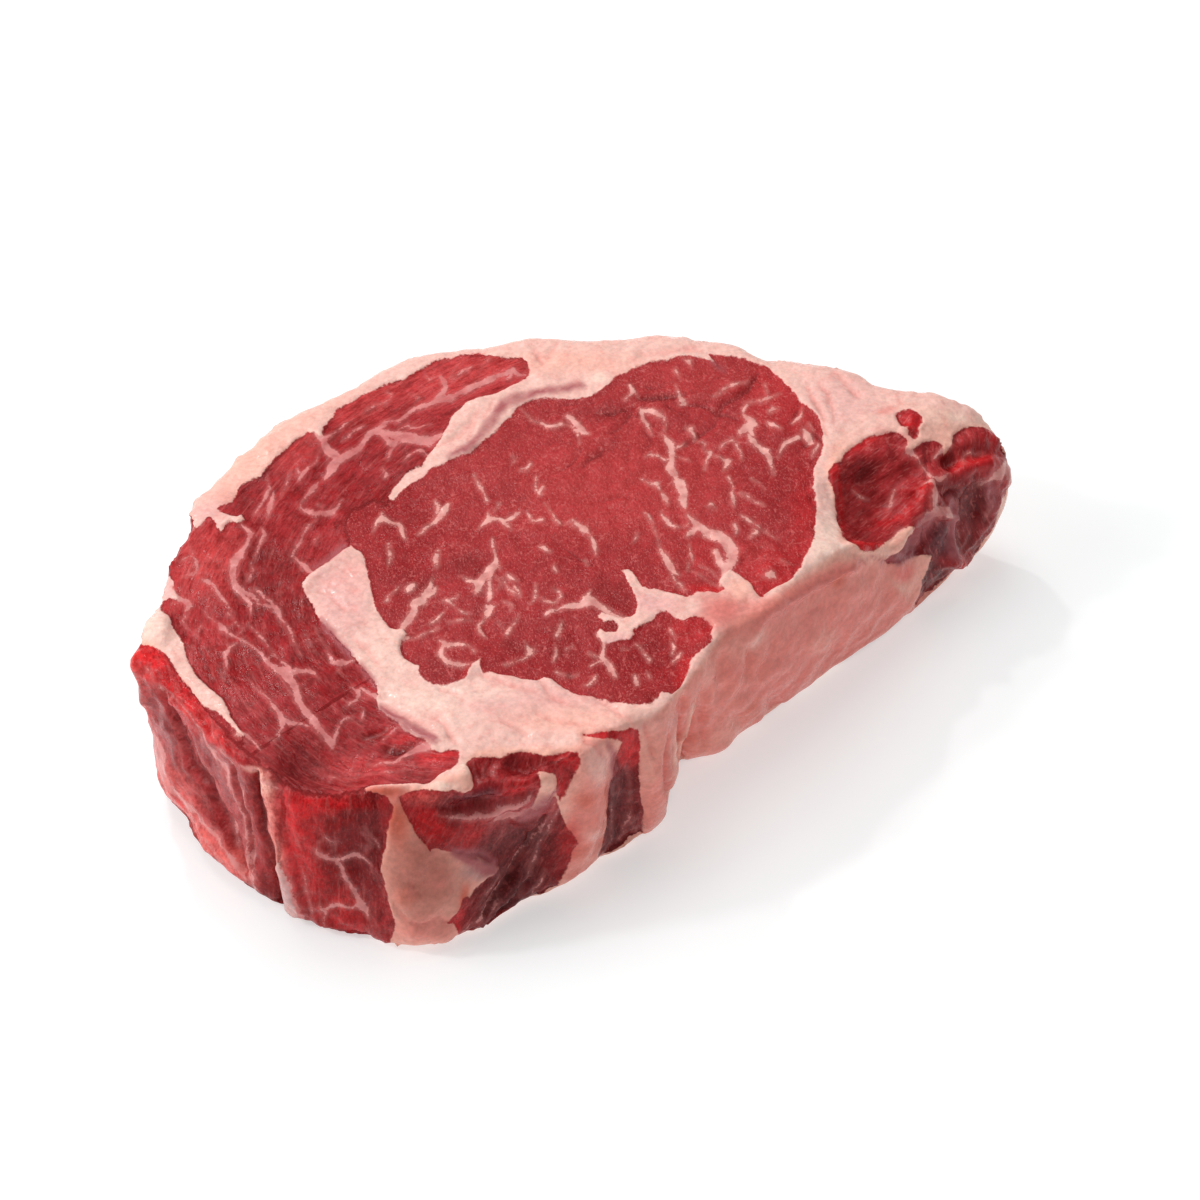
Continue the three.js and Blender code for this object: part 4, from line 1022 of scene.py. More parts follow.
    fat_dabs: tuple[Dab, ...] = dabs(
        (500, 700, 120, 30, Tint.BLUSH, 0.55), (430, 705, 50, 16, Tint.IVORY, 0.6, 20),
        (470, 690, 50, 12, Tint.IVORY, 0.5), (570, 720, 70, 14, Tint.PEACH, 0.7),
        (340, 600, 30, 44, Tint.BLUSH, 0.7, -20), (385, 655, 30, 22, Tint.IVORY, 0.3, 45),
        (355, 575, 14, 18, Tint.ROSE, 0.20), (570, 365, 80, 12, Tint.PEACH, 0.7),
        (470, 425, 40, 22, Tint.CREAM, 0.9, -45), (430, 480, 16, 8, Tint.BLUSH, 0.6, -40),
        (250, 465, 40, 20, Tint.PEACH, 0.8, -40), (225, 500, 20, 14, Tint.STAIN, 0.25, -40),
        (210, 515, 20, 12, Tint.BLUSH, 0.7), (300, 425, 60, 12, Tint.PEACH, 0.6, -32),
        (152, 630, 18, 16, Tint.IVORY), (168, 590, 6, 18, Tint.BLUSH, 0.9),
        (840, 400, 40, 30, Tint.BLUSH, 0.5), (822, 500, 9, 60, Tint.CREAM, 0.9),
        (830, 545, 24, 30, Tint.IVORY, 0.9), (650, 604, 30, 10, Tint.BLUSH, 0.9),
        (725, 612, 34, 22, Tint.FLUSH, 0.9), (760, 612, 12, 14, Tint.FLUSH, 0.5),
        (690, 606, 10, 10, Tint.CREAM, 0.9), (740, 590, 14, 12, Tint.PEACH),
        # the two IVORY dabs on the crest of the long rim are the fat's pale colour brightened into a painted
        # highlight
        (785, 600, 30, 14, Tint.IVORY, 0.9, -45), (752, 632, 20, 8, Tint.IVORY, 0.7, -55),
        (730, 645, 16, 12, Tint.PEACH, 0.6), (600, 605, 10, 8, Tint.BLUSH),
        (620, 640, 16, 6, Tint.BLUSH, 0.9), (600, 378, 8, 5, Tint.IVORY, 0.9),
        (860, 580, 50, 9, Tint.SALMON, 0.9, -20), (560, 700, 30, 8, Tint.ROSE, 0.12),
    )
    folds: tuple[Stroke, ...] = strokes(
        (482, 676, 1, 500, 684, 2, 520, 690, 2, 538, 694, 1),
        (540, 683, 1, 546, 690, 2, 552, 698, 2, 562, 702, 1),
        (420, 714, 1, 436, 720, 2, 446, 727, 2, 452, 738, 3, 457, 745, 1),
        (440, 690, 1, 452, 692, 2, 463, 700, 1), (382, 706, 1, 396, 714, 3, 412, 721, 3, 424, 726, 1),
        (500, 722, 1, 516, 728, 2, 530, 738, 1), (585, 690, 1, 600, 701, 2, 620, 716, 3, 641, 726, 1),
        (596, 726, 1, 560, 722, 2, 536, 712, 1), (352, 636, 1, 366, 650, 2, 381, 667, 1),
        (316, 592, 1, 330, 596, 1.5, 345, 610, 1), (536, 352, 2, 541, 358, 3, 545, 365, 1),
        (556, 350, 1, 548, 358, 2), (640, 356, 1, 668, 352, 2, 700, 351, 1),
        (440, 447, 1, 458, 437, 2, 470, 424, 2, 480, 412, 1), (466, 440, 1, 472, 428, 2, 476, 420, 1),
        (494, 402, 1, 490, 410, 2, 484, 420, 1),
        (806, 385, 1, 812, 396, 3, 818, 408, 3, 823, 420, 3, 827, 434, 1),
        (820, 383, 1, 828, 396, 2, 832, 408, 2, 834, 422, 1), (836, 371, 1, 846, 381, 2, 857, 394, 3),
        (864, 420, 1, 858, 430, 2, 852, 439, 1), (745, 598, 1, 752, 611, 3, 753, 625, 1),
        (764, 600, 2, 760, 614, 2, 752, 628, 2, 744, 640, 1), (742, 640, 1, 744, 650, 3, 742, 662, 1),
        (728, 640, 2, 722, 648, 3, 716, 656, 1), (780, 591, 1, 792, 600, 2, 786, 612, 1),
    )
    grooves: tuple[Stroke, ...] = strokes(
        (634, 408, 1, 627, 420, 3, 618, 430, 3, 609, 434, 1),
        (606, 446, 1, 600, 454, 2, 590, 458, 2, 580, 468, 0.5), (560, 470, 0.5, 572, 462, 2, 580, 452, 1),
        (548, 446, 0.5, 562, 440, 2, 574, 446, 0.5), (596, 412, 1, 612, 413, 4, 626, 412, 2),
        (640, 384, 1, 652, 387, 3, 664, 385, 2), (640, 398, 2, 656, 397, 5, 672, 396, 3, 686, 394, 1),
        (758, 371, 1, 754, 379, 4, 746, 391, 4, 733, 399, 4, 722, 406, 4, 717, 413, 5),
        (684, 402, 1, 696, 405, 3, 707, 408, 3, 717, 412, 4, 730, 418, 2, 738, 421, 1),
        (718, 416, 1, 712, 426, 3, 702, 434, 3, 688, 445, 1), (799, 402, 1, 795, 412, 3, 791, 421, 1),
        (645, 432, 1, 652, 441, 3, 642, 451, 1), (664, 404, 1, 676, 412, 2, 690, 414, 1),
        (560, 404, 1, 590, 402, 2, 606, 396, 1), (602, 500, 0.5, 622, 494, 2, 640, 500, 0.5),
        (560, 545, 0.5, 580, 560, 2, 600, 566, 0.5), (822, 440, 3, 814, 434, 4, 806, 446, 3),
        (386, 749, 1, 398, 752, 3, 411, 748, 1), (362, 736, 1, 374, 735, 3, 386, 730, 1),
        (196, 640, 1, 204, 660, 3, 214, 680, 1),
    )
    groove_depth: float = 0.5
    ridges: tuple[Stroke, ...] = strokes(
        (468, 676, 4, 478, 664, 5), (303, 588, 5, 316, 576, 5, 345, 556, 5),
        (764, 606, 6, 756, 622, 8, 744, 638, 6),
    )
    ridge_height: float = 0.5
    lifts: tuple[Spot, ...] = spots(
        (728, 388, 28, 8, 0.5, -22), (700, 392, 14, 8, 0.4), (612, 428, 18, 10, 0.4, -30),
        (670, 412, 20, 9, 0.4), (780, 420, 18, 16, 0.4), (765, 560, 26, 20, 0.5), (395, 752, 18, 8, -0.6),
        (300, 770, 30, 12, -0.6, 30), (440, 758, 20, 5, 0.5), (160, 631, 14, 14, 1.4),
        *LONG_RIM,
    )
    wet_spots: tuple[Spot, ...] = spots(
        (765, 560, 36, 24, 0.9, -30), (806, 500, 14, 50, 1.0), (730, 455, 50, 30), (700, 400, 60, 26, 0.6),
        (590, 430, 50, 24, 0.4), (480, 600, 50, 40, 0.6), (560, 635, 50, 24, 0.6), (420, 500, 40, 24, 0.6),
        (430, 665, 26, 14, 0.4), (690, 630, 26, 20, 0.5), (220, 670, 50, 40, 0.5), (340, 770, 30, 12, 0.5),
        (300, 500, 60, 40, 0.3),
    )
    crag_spots: tuple[Spot, ...] = spots(
        (765, 560, 34, 22, 0.9, -30), (806, 500, 10, 50, 0.9), (730, 450, 46, 26, 0.35),
        (490, 600, 30, 34, 0.35), (400, 745, 26, 18, 0.7), (210, 660, 30, 40, 0.4), (690, 625, 24, 12, 0.5),
    )
    cap_middle: tuple[float, float] = (5.0, -15.0)
    cap_reach: tuple[float, float] = (85.0, 62.0)
    grain_turn: float = 60.0  # degrees, the way the eye's grain leans

    def grain(self, plan: Array, in_cap: Array) -> Array:
        """Measures places along and across the fibres, which curve round the eye in the cap.

        Args:
            plan: x and y of each place, in mm.
            in_cap: how much of each place is in the cap.

        Returns:
            One row a place.
        """
        x, y = plan.T
        u = (x - self.cap_middle[0]) / self.cap_reach[0]
        v = (y - self.cap_middle[1]) / self.cap_reach[1]
        radius = sum(self.cap_reach) / 2
        curved = np.stack([np.arctan2(v, u) * radius, np.hypot(u, v) * radius], -1)
        turn = math.radians(self.grain_turn)
        along = x * math.cos(turn) + y * math.sin(turn)
        across = y * math.cos(turn) - x * math.sin(turn)
        straight = np.stack([along * 3.0, across * 1.5], -1)
        flat = np.where(in_cap[:, None] > 0.5, curved, straight)
        return np.column_stack([flat, np.zeros_like(x)])

    def laid_open(self, u: Array, v: Array, plan: Array) -> Pattern:
        """Works out what shows on a cut face.

        Args:
            u, v: pixels across and down the camera's frame.
            plan: x and y of each place, in mm.

        Returns:
            The face's pattern.
        """
        seen = self.read(u, v)
        in_cap = soft_step(inside_distance(u, v, self.lean[1]), -4, 4)
        in_cap *= 1 - soft_step(inside_distance(u, v, self.lean[0]), -2, 2)
        return replace(
            seen, streaks=0.12 + 0.88 * in_cap, wet=most(u, v, self.wet_spots),
            crag=most(u, v, self.crag_spots), fibre=self.grain(plan, in_cap),
        )


@dataclass(frozen=True)
class Flank:
    """The side of the steak that the camera doesn't see: outer fat with lean showing through."""

    middle: tuple[float, float] = (0.0, 0.0)
    lean_dabs: tuple[Dab, ...] = dabs((40, 20, 60, 30, Tint.DUSK, 0.7), (-150, 20, 60, 30, Tint.RAW, 0.5))
    fat_dabs: tuple[Dab, ...] = dabs(
        (90, 20, 60, 20, Tint.CREAM), (20, 30, 50, 14, Tint.PEACH, 0.7), (150, 14, 60, 12, Tint.BLUSH, 0.7),
        (60, 4, 90, 6, Tint.SALMON, 0.5),
    )
    lean_share: Places = outline(
        -180, 2.0, -150, 0.8, -110, -1.8, -60, -2.0, 0, -1.4, 40, -1.0, 110, -2.0, 180, 2.0
    )
    seeds: tuple[int, int] = (31, 32)
    round_reach: float = 75.0  # mm from its middle to the side, about

    def read(self, plan: Array, height: Array) -> Pattern:
        """Works out what shows at places on the side.

        Args:
            plan: x and y of each place.
            height: height above the floor.

        Returns:
            The side's pattern.
        """
        turn = np.degrees(np.arctan2(plan[:, 1] - self.middle[1], plan[:, 0] - self.middle[0]))
        place = np.column_stack([plan, height])
        first, second = (Noise(seed) for seed in self.seeds)
        share = np.interp(turn, *np.array(self.lean_share).T)
        patches, frayed = first.layered(place * (1, 1, 1.4), 30.0), second.layered(place, 9.0)
        fat = 2.2 * (-share + 2.6 * patches + 0.9 * frayed)
        rim = soft_step(fat, -2.5, 0.0) * (1 - soft_step(fat, 0.5, 4.0))
        rim *= soft_step(second.layered(place, 14.0), -0.3, 0.3)
        flat = np.full_like(height, 0.0)
        lean = paint(np.tile(Tint.CAP.linear, (len(turn), 1)), turn, height, self.lean_dabs)
        fatty = paint(np.tile(Tint.PEACH.linear, (len(turn), 1)), turn, height, self.fat_dabs)
        fibre = np.column_stack([height, np.radians(turn) * self.round_reach, flat])
        fold = 1.8 * second.layered(place * (1, 1, 0.25), 14.0) - 0.8
        vein = 1.4 * first.layered(place * (1, 1, 0.4), 5.0) - 1.6
        return Pattern(fat, vein, fold, lean, fatty, 0.35 * rim, flat + 0.3, flat + 0.3, flat + 0.3, fibre)


class Shades:
    """Adds shader nodes to one tree in short calls."""

    def __init__(self, tree: bpy.types.NodeTree) -> None:
        """Args: tree: the material's or the group's node tree."""
        self.tree = tree

    def put(self, kind: str, inputs: dict | None = None, **settings: object) -> Node:
        """Adds a node.

        Args:
            kind: the node's type.
            inputs: what each input is linked or set to.
            settings: the node's own settings.

        Returns:
            The node.
        """
        node = self.tree.nodes.new(kind)
        for name, value in settings.items():
            setattr(node, name, value)
        for name, value in (inputs or {}).items():
            self.feed(node.inputs[name], value)
        return node

    def feed(self, socket: Socket, value: object) -> None:
        """Links a socket to an output, or sets its value.

        Args:
            socket: the input.
            value: an output or a plain value.
        """
        if isinstance(value, Socket):
            self.tree.links.new(value, socket)
        else:
            socket.default_value = value

    def math(self, operation: str, a: object, b: object = 0.0, c: object = 0.0) -> Socket:
        """A Math node's result."""
        return self.put("ShaderNodeMath", {0: a, 1: b, 2: c}, operation=operation).outputs[0]

    def vector(self, operation: str, a: object, b: object) -> Socket:
        """A Vector Math node's result."""
        return self.put("ShaderNodeVectorMath", {0: a, 1: b}, operation=operation).outputs[0]

    def band(self, value: object, low: float, high: float, to: tuple = (0.0, 1.0)) -> Socket:
        """The value brought smoothly from low..high to another range, and held at its ends."""
        settings = {"Value": value, "From Min": low, "From Max": high, "To Min": to[0], "To Max": to[1]}
        return self.put("ShaderNodeMapRange", settings, interpolation_type="SMOOTHSTEP").outputs[0]

    def noise(self, place: object, size: float, detail: float = 2.0, rough: float = 0.5) -> Socket:
        """Noise with lumps of a size in the units of place."""
        settings = {"Vector": place, "Scale": 1 / size, "Detail": detail, "Roughness": rough}
        return self.put("ShaderNodeTexNoise", settings).outputs["Fac"]

    def mix(self, share: object, a: object, b: object, blend: str = "MIX") -> Socket:
        """Mixes two colours.

        Args:
            share: how much of the second shows.
            a: the first.
            b: the second.
            blend: the way of mixing.

        Returns:
            The mixed colour.
        """
        node = self.put("ShaderNodeMix", data_type="RGBA", blend_type=blend)
        self.feed(node.inputs[0], share)
        self.feed(node.inputs[6], a)
        self.feed(node.inputs[7], b)
        return node.outputs[2]

    def kept(self, name: str, output: str = "Fac") -> Socket:
        """What the mesh keeps under a name."""
        return self.put("ShaderNodeAttribute", attribute_name=name).outputs[output]


def colour(tint: Tint) -> tuple[float, float, float, float]:
    """A tint as a shader colour."""
    return (*tint.linear.tolist(), 1.0)


@dataclass(frozen=True)
class GroupSocket:
    """One socket of a node group."""

    name: str
    kind: str
    goes: str
    start: float | None = None


def new_group(name: str, sockets: tuple[GroupSocket, ...]) -> tuple[Shades, Node, Node]:
    """Makes a shader node group.

    Args:
        name: the group's name.
        sockets: its inputs and outputs.

    Returns:
        What adds nodes to it, its input node and its output node.
    """
    tree = bpy.data.node_groups.new(name, "ShaderNodeTree")
    for socket in sockets:
        made = tree.interface.new_socket(socket.name, in_out=socket.goes, socket_type=socket.kind)
        if socket.start is not None:
            made.default_value = socket.start
    shades = Shades(tree)
    return shades, shades.put("NodeGroupInput"), shades.put("NodeGroupOutput")


def flesh_grain() -> bpy.types.NodeTree:
    """Makes the grain of cut muscle: bundles of fibres and the fine grain between them.

    Returns:
        The node group.
    """
    sockets = (
        GroupSocket("Place", "NodeSocketVector", "INPUT"),
        GroupSocket("Fibre", "NodeSocketVector", "INPUT"),
        GroupSocket("Shade", "NodeSocketFloat", "OUTPUT"),
        GroupSocket("Height", "NodeSocketFloat", "OUTPUT"),
        GroupSocket("Streak", "NodeSocketFloat", "OUTPUT"),
    )
    s, start, end = new_group("Flesh grain", sockets)
    fibre = s.vector("MULTIPLY", start.outputs["Fibre"], (0.30, 1.0, 1.0))
    bundles = s.noise(fibre, 1.1, 4.0, 0.65)
    threads = s.noise(fibre, 0.42, 2.0, 0.6)
    grain = s.noise(start.outputs["Place"], 0.6, 2.0, 0.6)
    patches = s.noise(start.outputs["Place"], 6.0, 4.0, 0.6)
    fine = s.math("MULTIPLY_ADD", grain, 0.14, s.math("MULTIPLY", patches, 0.26))
    shade = s.math("MULTIPLY_ADD", bundles, 0.40, s.math("MULTIPLY_ADD", threads, 0.20, fine))
    low = s.math("MULTIPLY_ADD", threads, 0.25, s.math("MULTIPLY", grain, 0.15))
    height = s.math("MULTIPLY_ADD", bundles, 0.6, low)
    long_way = s.vector("MULTIPLY", start.outputs["Fibre"], (0.10, 1.0, 1.0))
    s.feed(end.inputs["Shade"], shade)
    s.feed(end.inputs["Height"], height)
    s.feed(end.inputs["Streak"], s.noise(long_way, 1.2, 5.0, 0.65))
    return s.tree


def fine_marbling_and_glints() -> bpy.types.NodeTree:
    """Makes flecks and broken threads of fat too fine to draw one by one, and tiny pale specks that are
    partly fine marbling and partly painted glints.

    Returns:
        The node group.
    """
    sockets = (
        GroupSocket("Place", "NodeSocketVector", "INPUT"),
        GroupSocket("Fibre", "NodeSocketVector", "INPUT"),
        GroupSocket("Mask", "NodeSocketFloat", "OUTPUT"),
    )
    s, start, end = new_group("Fine marbling and glints", sockets)
    place = start.outputs["Place"]
    leaning = s.vector("MULTIPLY", start.outputs["Fibre"], (0.25, 1.0, 1.0))
    clusters = s.band(s.noise(place, 6.5, 2.0), 0.36, 0.62, (0.15, 1.0))
    flecks = s.band(s.noise(leaning, 0.70, 1.5), 0.56, 0.74)
    ridge = s.math("ABSOLUTE", s.math("SUBTRACT", s.noise(place, 7.0, 3.0, 0.55), 0.5))
    broken = s.band(s.noise(s.vector("ADD", place, ELSEWHERE), 1.3, 2.0), 0.48, 0.62)
    threads = s.math("MULTIPLY", s.band(ridge, 0.002, 0.016, (1.0, 0.0)), broken)
    # painted highlight: the finest pale specks are partly fine marbling and partly glints of the wet surface
    specks_and_painted_glints = s.band(s.noise(s.vector("ADD", leaning, (3.0, 8.0, 0.0)), 0.42, 1.0), 0.60, 0.70, (0.0, 0.9))
    both = s.math("MAXIMUM", s.math("MULTIPLY", flecks, clusters), s.math("MULTIPLY", threads, 0.8))
    both = s.math("MAXIMUM", both, specks_and_painted_glints)
    s.feed(end.inputs["Mask"], both)
    return s.tree


def wet_film() -> bpy.types.NodeTree:
    """Makes the roughness, lower where the surface is wetter.

    Returns:
        The node group.
    """
    sockets = (
        GroupSocket("Place", "NodeSocketVector", "INPUT"),
        GroupSocket("Juice", "NodeSocketFloat", "INPUT", 0.0),
        GroupSocket("Dry", "NodeSocketFloat", "INPUT", 0.5),
        GroupSocket("Wet", "NodeSocketFloat", "INPUT", 0.3),
        GroupSocket("Roughness", "NodeSocketFloat", "OUTPUT"),
    )
    s, start, end = new_group("Wet film", sockets)
    pools = s.band(s.noise(start.outputs["Place"], 2.2, 3.0, 0.6), 0.35, 0.65)
    dryness = s.math("MULTIPLY", pools, s.math("SUBTRACT", 1.0, start.outputs["Juice"]))
    drier = s.math("SUBTRACT", start.outputs["Dry"], start.outputs["Wet"])
    s.feed(end.inputs["Roughness"], s.math("MULTIPLY_ADD", dryness, drier, start.outputs["Wet"]))
    return s.tree


@dataclass(frozen=True)
class RawMeat:
    """The finish of the whole steak: red muscle, fat, marbling and silver skin under a film of juice."""

    name: str = "raw meat"
    vein_tint: Tint = Tint.VEIN
    seam_tint: Tint = Tint.SEAM  # of the marbling among long fibres
    # of pale fibres and fine marbling, and of the pale specks that are painted glints
    thread_tint: Tint = Tint.THREAD
    pale_tint: Tint = Tint.DUSK
    blood_tint: Tint = Tint.ROSE
    # the darker salmon of painted shade in the fat's creases, and of its random pink flush
    crease_shade_and_flush_tint: Tint = Tint.SALMON
    silver_tint: Tint = Tint.MAUVE
    edge: float = 0.16  # mm over which fat turns into meat
    lean_relief: float = 0.32  # mm
    fat_relief: float = 0.36
    wet: float = 0.18
    dry: float = 0.50
    shine: float = 0.14
    under_surface: float = 0.12  # share of light that passes under the surface
    glow_reach: tuple[float, float, float] = (1.0, 0.35, 0.25)  # how far each colour passes there
    glow_depth: float = 0.002  # m
    vein_strength: float = 0.92

    def make(self) -> bpy.types.Material:
        """Builds the material.

        Returns:
            The material.
        """
        material = bpy.data.materials.new(self.name)
        material.use_nodes = True
        tree = material.node_tree
        tree.nodes.clear()
        s = Shades(tree)
        place = s.vector("MULTIPLY", s.put("ShaderNodeTexCoord").outputs["Object"], (1000.0,) * 3)
        fibre = s.kept("fibre", "Vector")
        grain = s.put("ShaderNodeGroup", {"Place": place, "Fibre": fibre}, node_tree=flesh_grain())
        fine = s.put("ShaderNodeGroup", {"Place": place, "Fibre": fibre}, node_tree=fine_marbling_and_glints())
        is_fat, is_vein = self.edges(s, place)
        is_vein = s.math("MULTIPLY", is_vein, s.band(s.noise(place, 3.5, 2.0), 0.34, 0.58, (0.6, 1.0)))
        meat = self.meat(s, place, grain, fine.outputs["Mask"], is_vein)
        skin = s.mix(is_fat, meat, self.tallow(s, place))
        patchy = s.band(s.noise(place, 5.0, 2.0, 0.5), 0.35, 0.6, (0.7, 0.95))
        skin = s.mix(s.math("MULTIPLY", s.kept("silver"), patchy), skin, colour(self.silver_tint))

        film = {"Place": place, "Juice": s.kept("wet"), "Wet": self.wet, "Dry": self.dry}
        wet = s.put("ShaderNodeGroup", film, node_tree=wet_film())
        lean_height = s.math("MULTIPLY", grain.outputs["Height"], self.lean_relief)
        fat_height = s.math("MULTIPLY", s.noise(place, 2.6, 2.0, 0.45), self.fat_relief)
        smooth = s.math("MAXIMUM", is_fat, s.math("MULTIPLY", is_vein, 0.8))
        height = s.put("ShaderNodeMix", {0: smooth, 2: lean_height, 3: fat_height}, data_type="FLOAT")
        bump = s.put("ShaderNodeBump", {"Strength": 1.0, "Distance": MM, "Height": height.outputs[0]})

        surface = s.put("ShaderNodeBsdfPrincipled")
        s.feed(surface.inputs["Base Color"], skin)
        s.feed(surface.inputs["Roughness"], wet.outputs["Roughness"])
        s.feed(surface.inputs["Normal"], bump.outputs["Normal"])
        surface.inputs["Specular IOR Level"].default_value = self.shine
        surface.inputs["Subsurface Weight"].default_value = self.under_surface
        surface.inputs["Subsurface Radius"].default_value = self.glow_reach
        surface.inputs["Subsurface Scale"].default_value = self.glow_depth
        end = s.put("ShaderNodeOutputMaterial")
        s.feed(end.inputs["Surface"], surface.outputs[0])
        return material

    def edges(self, s: Shades, place: Socket) -> tuple[Socket, Socket]:
        """Where the fat and where the marbling shows, with frayed edges.

        Args:
            s: adds the nodes.
            place: the place in mm.

        Returns:
            The share of fat and the share of marbling.
        """
        fray = s.math("SUBTRACT", s.noise(place, 0.8, 3.0, 0.6), 0.5)
        fine_fray = s.math("SUBTRACT", s.noise(place, 0.45, 2.0, 0.7), 0.5)
        fat = s.math("MULTIPLY_ADD", fray, 0.8, s.kept("fat"))
        vein = s.math("MULTIPLY_ADD", fray, 0.7, s.math("MULTIPLY_ADD", fine_fray, 0.7, s.kept("vein")))
        core = s.band(vein, -0.04, 0.28)
        halo = s.band(s.kept("vein"), -0.8, 0.3, (0.0, 0.26))
        return s.band(fat, -self.edge, self.edge), s.math("MAXIMUM", core, halo)

    def meat(
        self, s: Shades, place: Socket, grain: Node,
        threads: Socket, is_vein: Socket,
    ) -> Socket:
        """The colour of the muscle and the marbling in it, with painted shade darkening its creases.

        Args:
            s: adds the nodes.
            place: the place in mm.
            grain: the flesh grain.
            threads: where the finest marbling lies, with pale specks that are also painted glints.
            is_vein: where the drawn marbling lies.

        Returns:
            The colour.
        """
        strength = s.band(s.kept("streaks"), 0.0, 0.8, (0.5, 1.0))
        # painted shade: the muscle's colour is darkened inside the drawn folds and grooves
        crease_shade = s.band(s.kept("fold"), -0.35, 0.35, (1.0, 0.66))
        shade = grain.outputs["Shade"]
        red = s.math("MULTIPLY_ADD", s.band(shade, 0.37, 0.63, (-0.42, 0.36)), strength, 1.0)
        rest = s.math("MULTIPLY_ADD", s.band(shade, 0.37, 0.63, (-0.72, 0.70)), strength, 1.0)
        red, rest = s.math("MULTIPLY", red, crease_shade), s.math("MULTIPLY", rest, crease_shade)
        grey = s.put("ShaderNodeCombineColor", {0: red, 1: rest, 2: rest}).outputs[0]
        meat = s.mix(1.0, s.kept("lean_tint", "Color"), grey, "MULTIPLY")
        pale = s.band(s.noise(place, 7.0, 4.0, 0.6), 0.45, 0.75, (0.0, 0.14))
        meat = s.mix(pale, meat, colour(self.pale_tint))
        streak = s.band(grain.outputs["Streak"], 0.53, 0.70, (0.0, 0.32))
        meat = s.mix(s.math("MULTIPLY", streak, s.kept("streaks")), meat, colour(self.thread_tint))
        sparse = s.band(s.kept("streaks"), 0.1, 0.9, (0.62, 0.18))
        meat = s.mix(s.math("MULTIPLY", threads, sparse), meat, colour(self.thread_tint))
        vein = s.mix(s.kept("streaks"), colour(self.vein_tint), colour(self.seam_tint))
        return s.mix(s.math("MULTIPLY", is_vein, self.vein_strength), meat, vein)

    def tallow(self, s: Shades, place: Socket) -> Socket:
        """The colour of the fat: mottled, flushed with pink, and with painted shade darkening its creases.

        Args:
            s: adds the nodes.
            place: the place in mm.

        Returns:
            The colour.
        """
        blood = s.band(s.noise(place, 5.0, 5.0, 0.65), 0.50, 0.78, (0.0, 0.35))
        tallow = s.mix(blood, s.kept("fat_tint", "Color"), colour(self.blood_tint))
        # painted shade: the fat turns darker salmon inside the drawn folds
        crease_shade = s.band(s.kept("fold"), -0.8, 0.5, (0.0, 0.45))
        tallow = s.mix(crease_shade, tallow, colour(self.crease_shade_and_flush_tint))
        pink = s.noise(s.vector("ADD", place, ELSEWHERE), 1.8, 4.0, 0.7)
        flushed = s.band(pink, 0.50, 0.72, (0.0, 0.30))
        tallow = s.mix(flushed, tallow, colour(self.crease_shade_and_flush_tint))
        mottle = s.band(s.noise(place, 1.2, 3.0, 0.6), 0.3, 0.7, (0.90, 1.08))
        grey = s.put("ShaderNodeCombineColor", {0: mottle, 1: mottle, 2: mottle}).outputs[0]
        return s.mix(1.0, tallow, grey, "MULTIPLY")


def only(piece: Piece) -> None:
    """Selects one object alone and makes it active.

    Args:
        piece: the object.
    """
    bpy.ops.object.select_all(action="DESELECT")
    piece.select_set(True)
    bpy.context.view_layer.objects.active = piece


def add_modifier(piece: Piece, kind: str, **settings: object) -> None:
    """Adds a modifier and applies it.

    Args:
        piece: the object.
        kind: the modifier's type.
        settings: its settings.
    """
    only(piece)
    bpy.ops.object.modifier_add(type=kind)
    modifier = piece.modifiers[-1]
    for name, value in settings.items():
        setattr(modifier, name, value)
    bpy.ops.object.modifier_apply(modifier=modifier.name)


def read_vectors(collection: bpy.types.bpy_prop_collection, name: str) -> Array:
    """Reads a vector of each item of a mesh.

    Args:
        collection: the vertices or faces.
        name: which of their vectors.

    Returns:
        One row an item.
    """
    values = np.empty(len(collection) * 3, np.float32)
    collection.foreach_get(name, values)
    return values.reshape(-1, 3).astype(float)


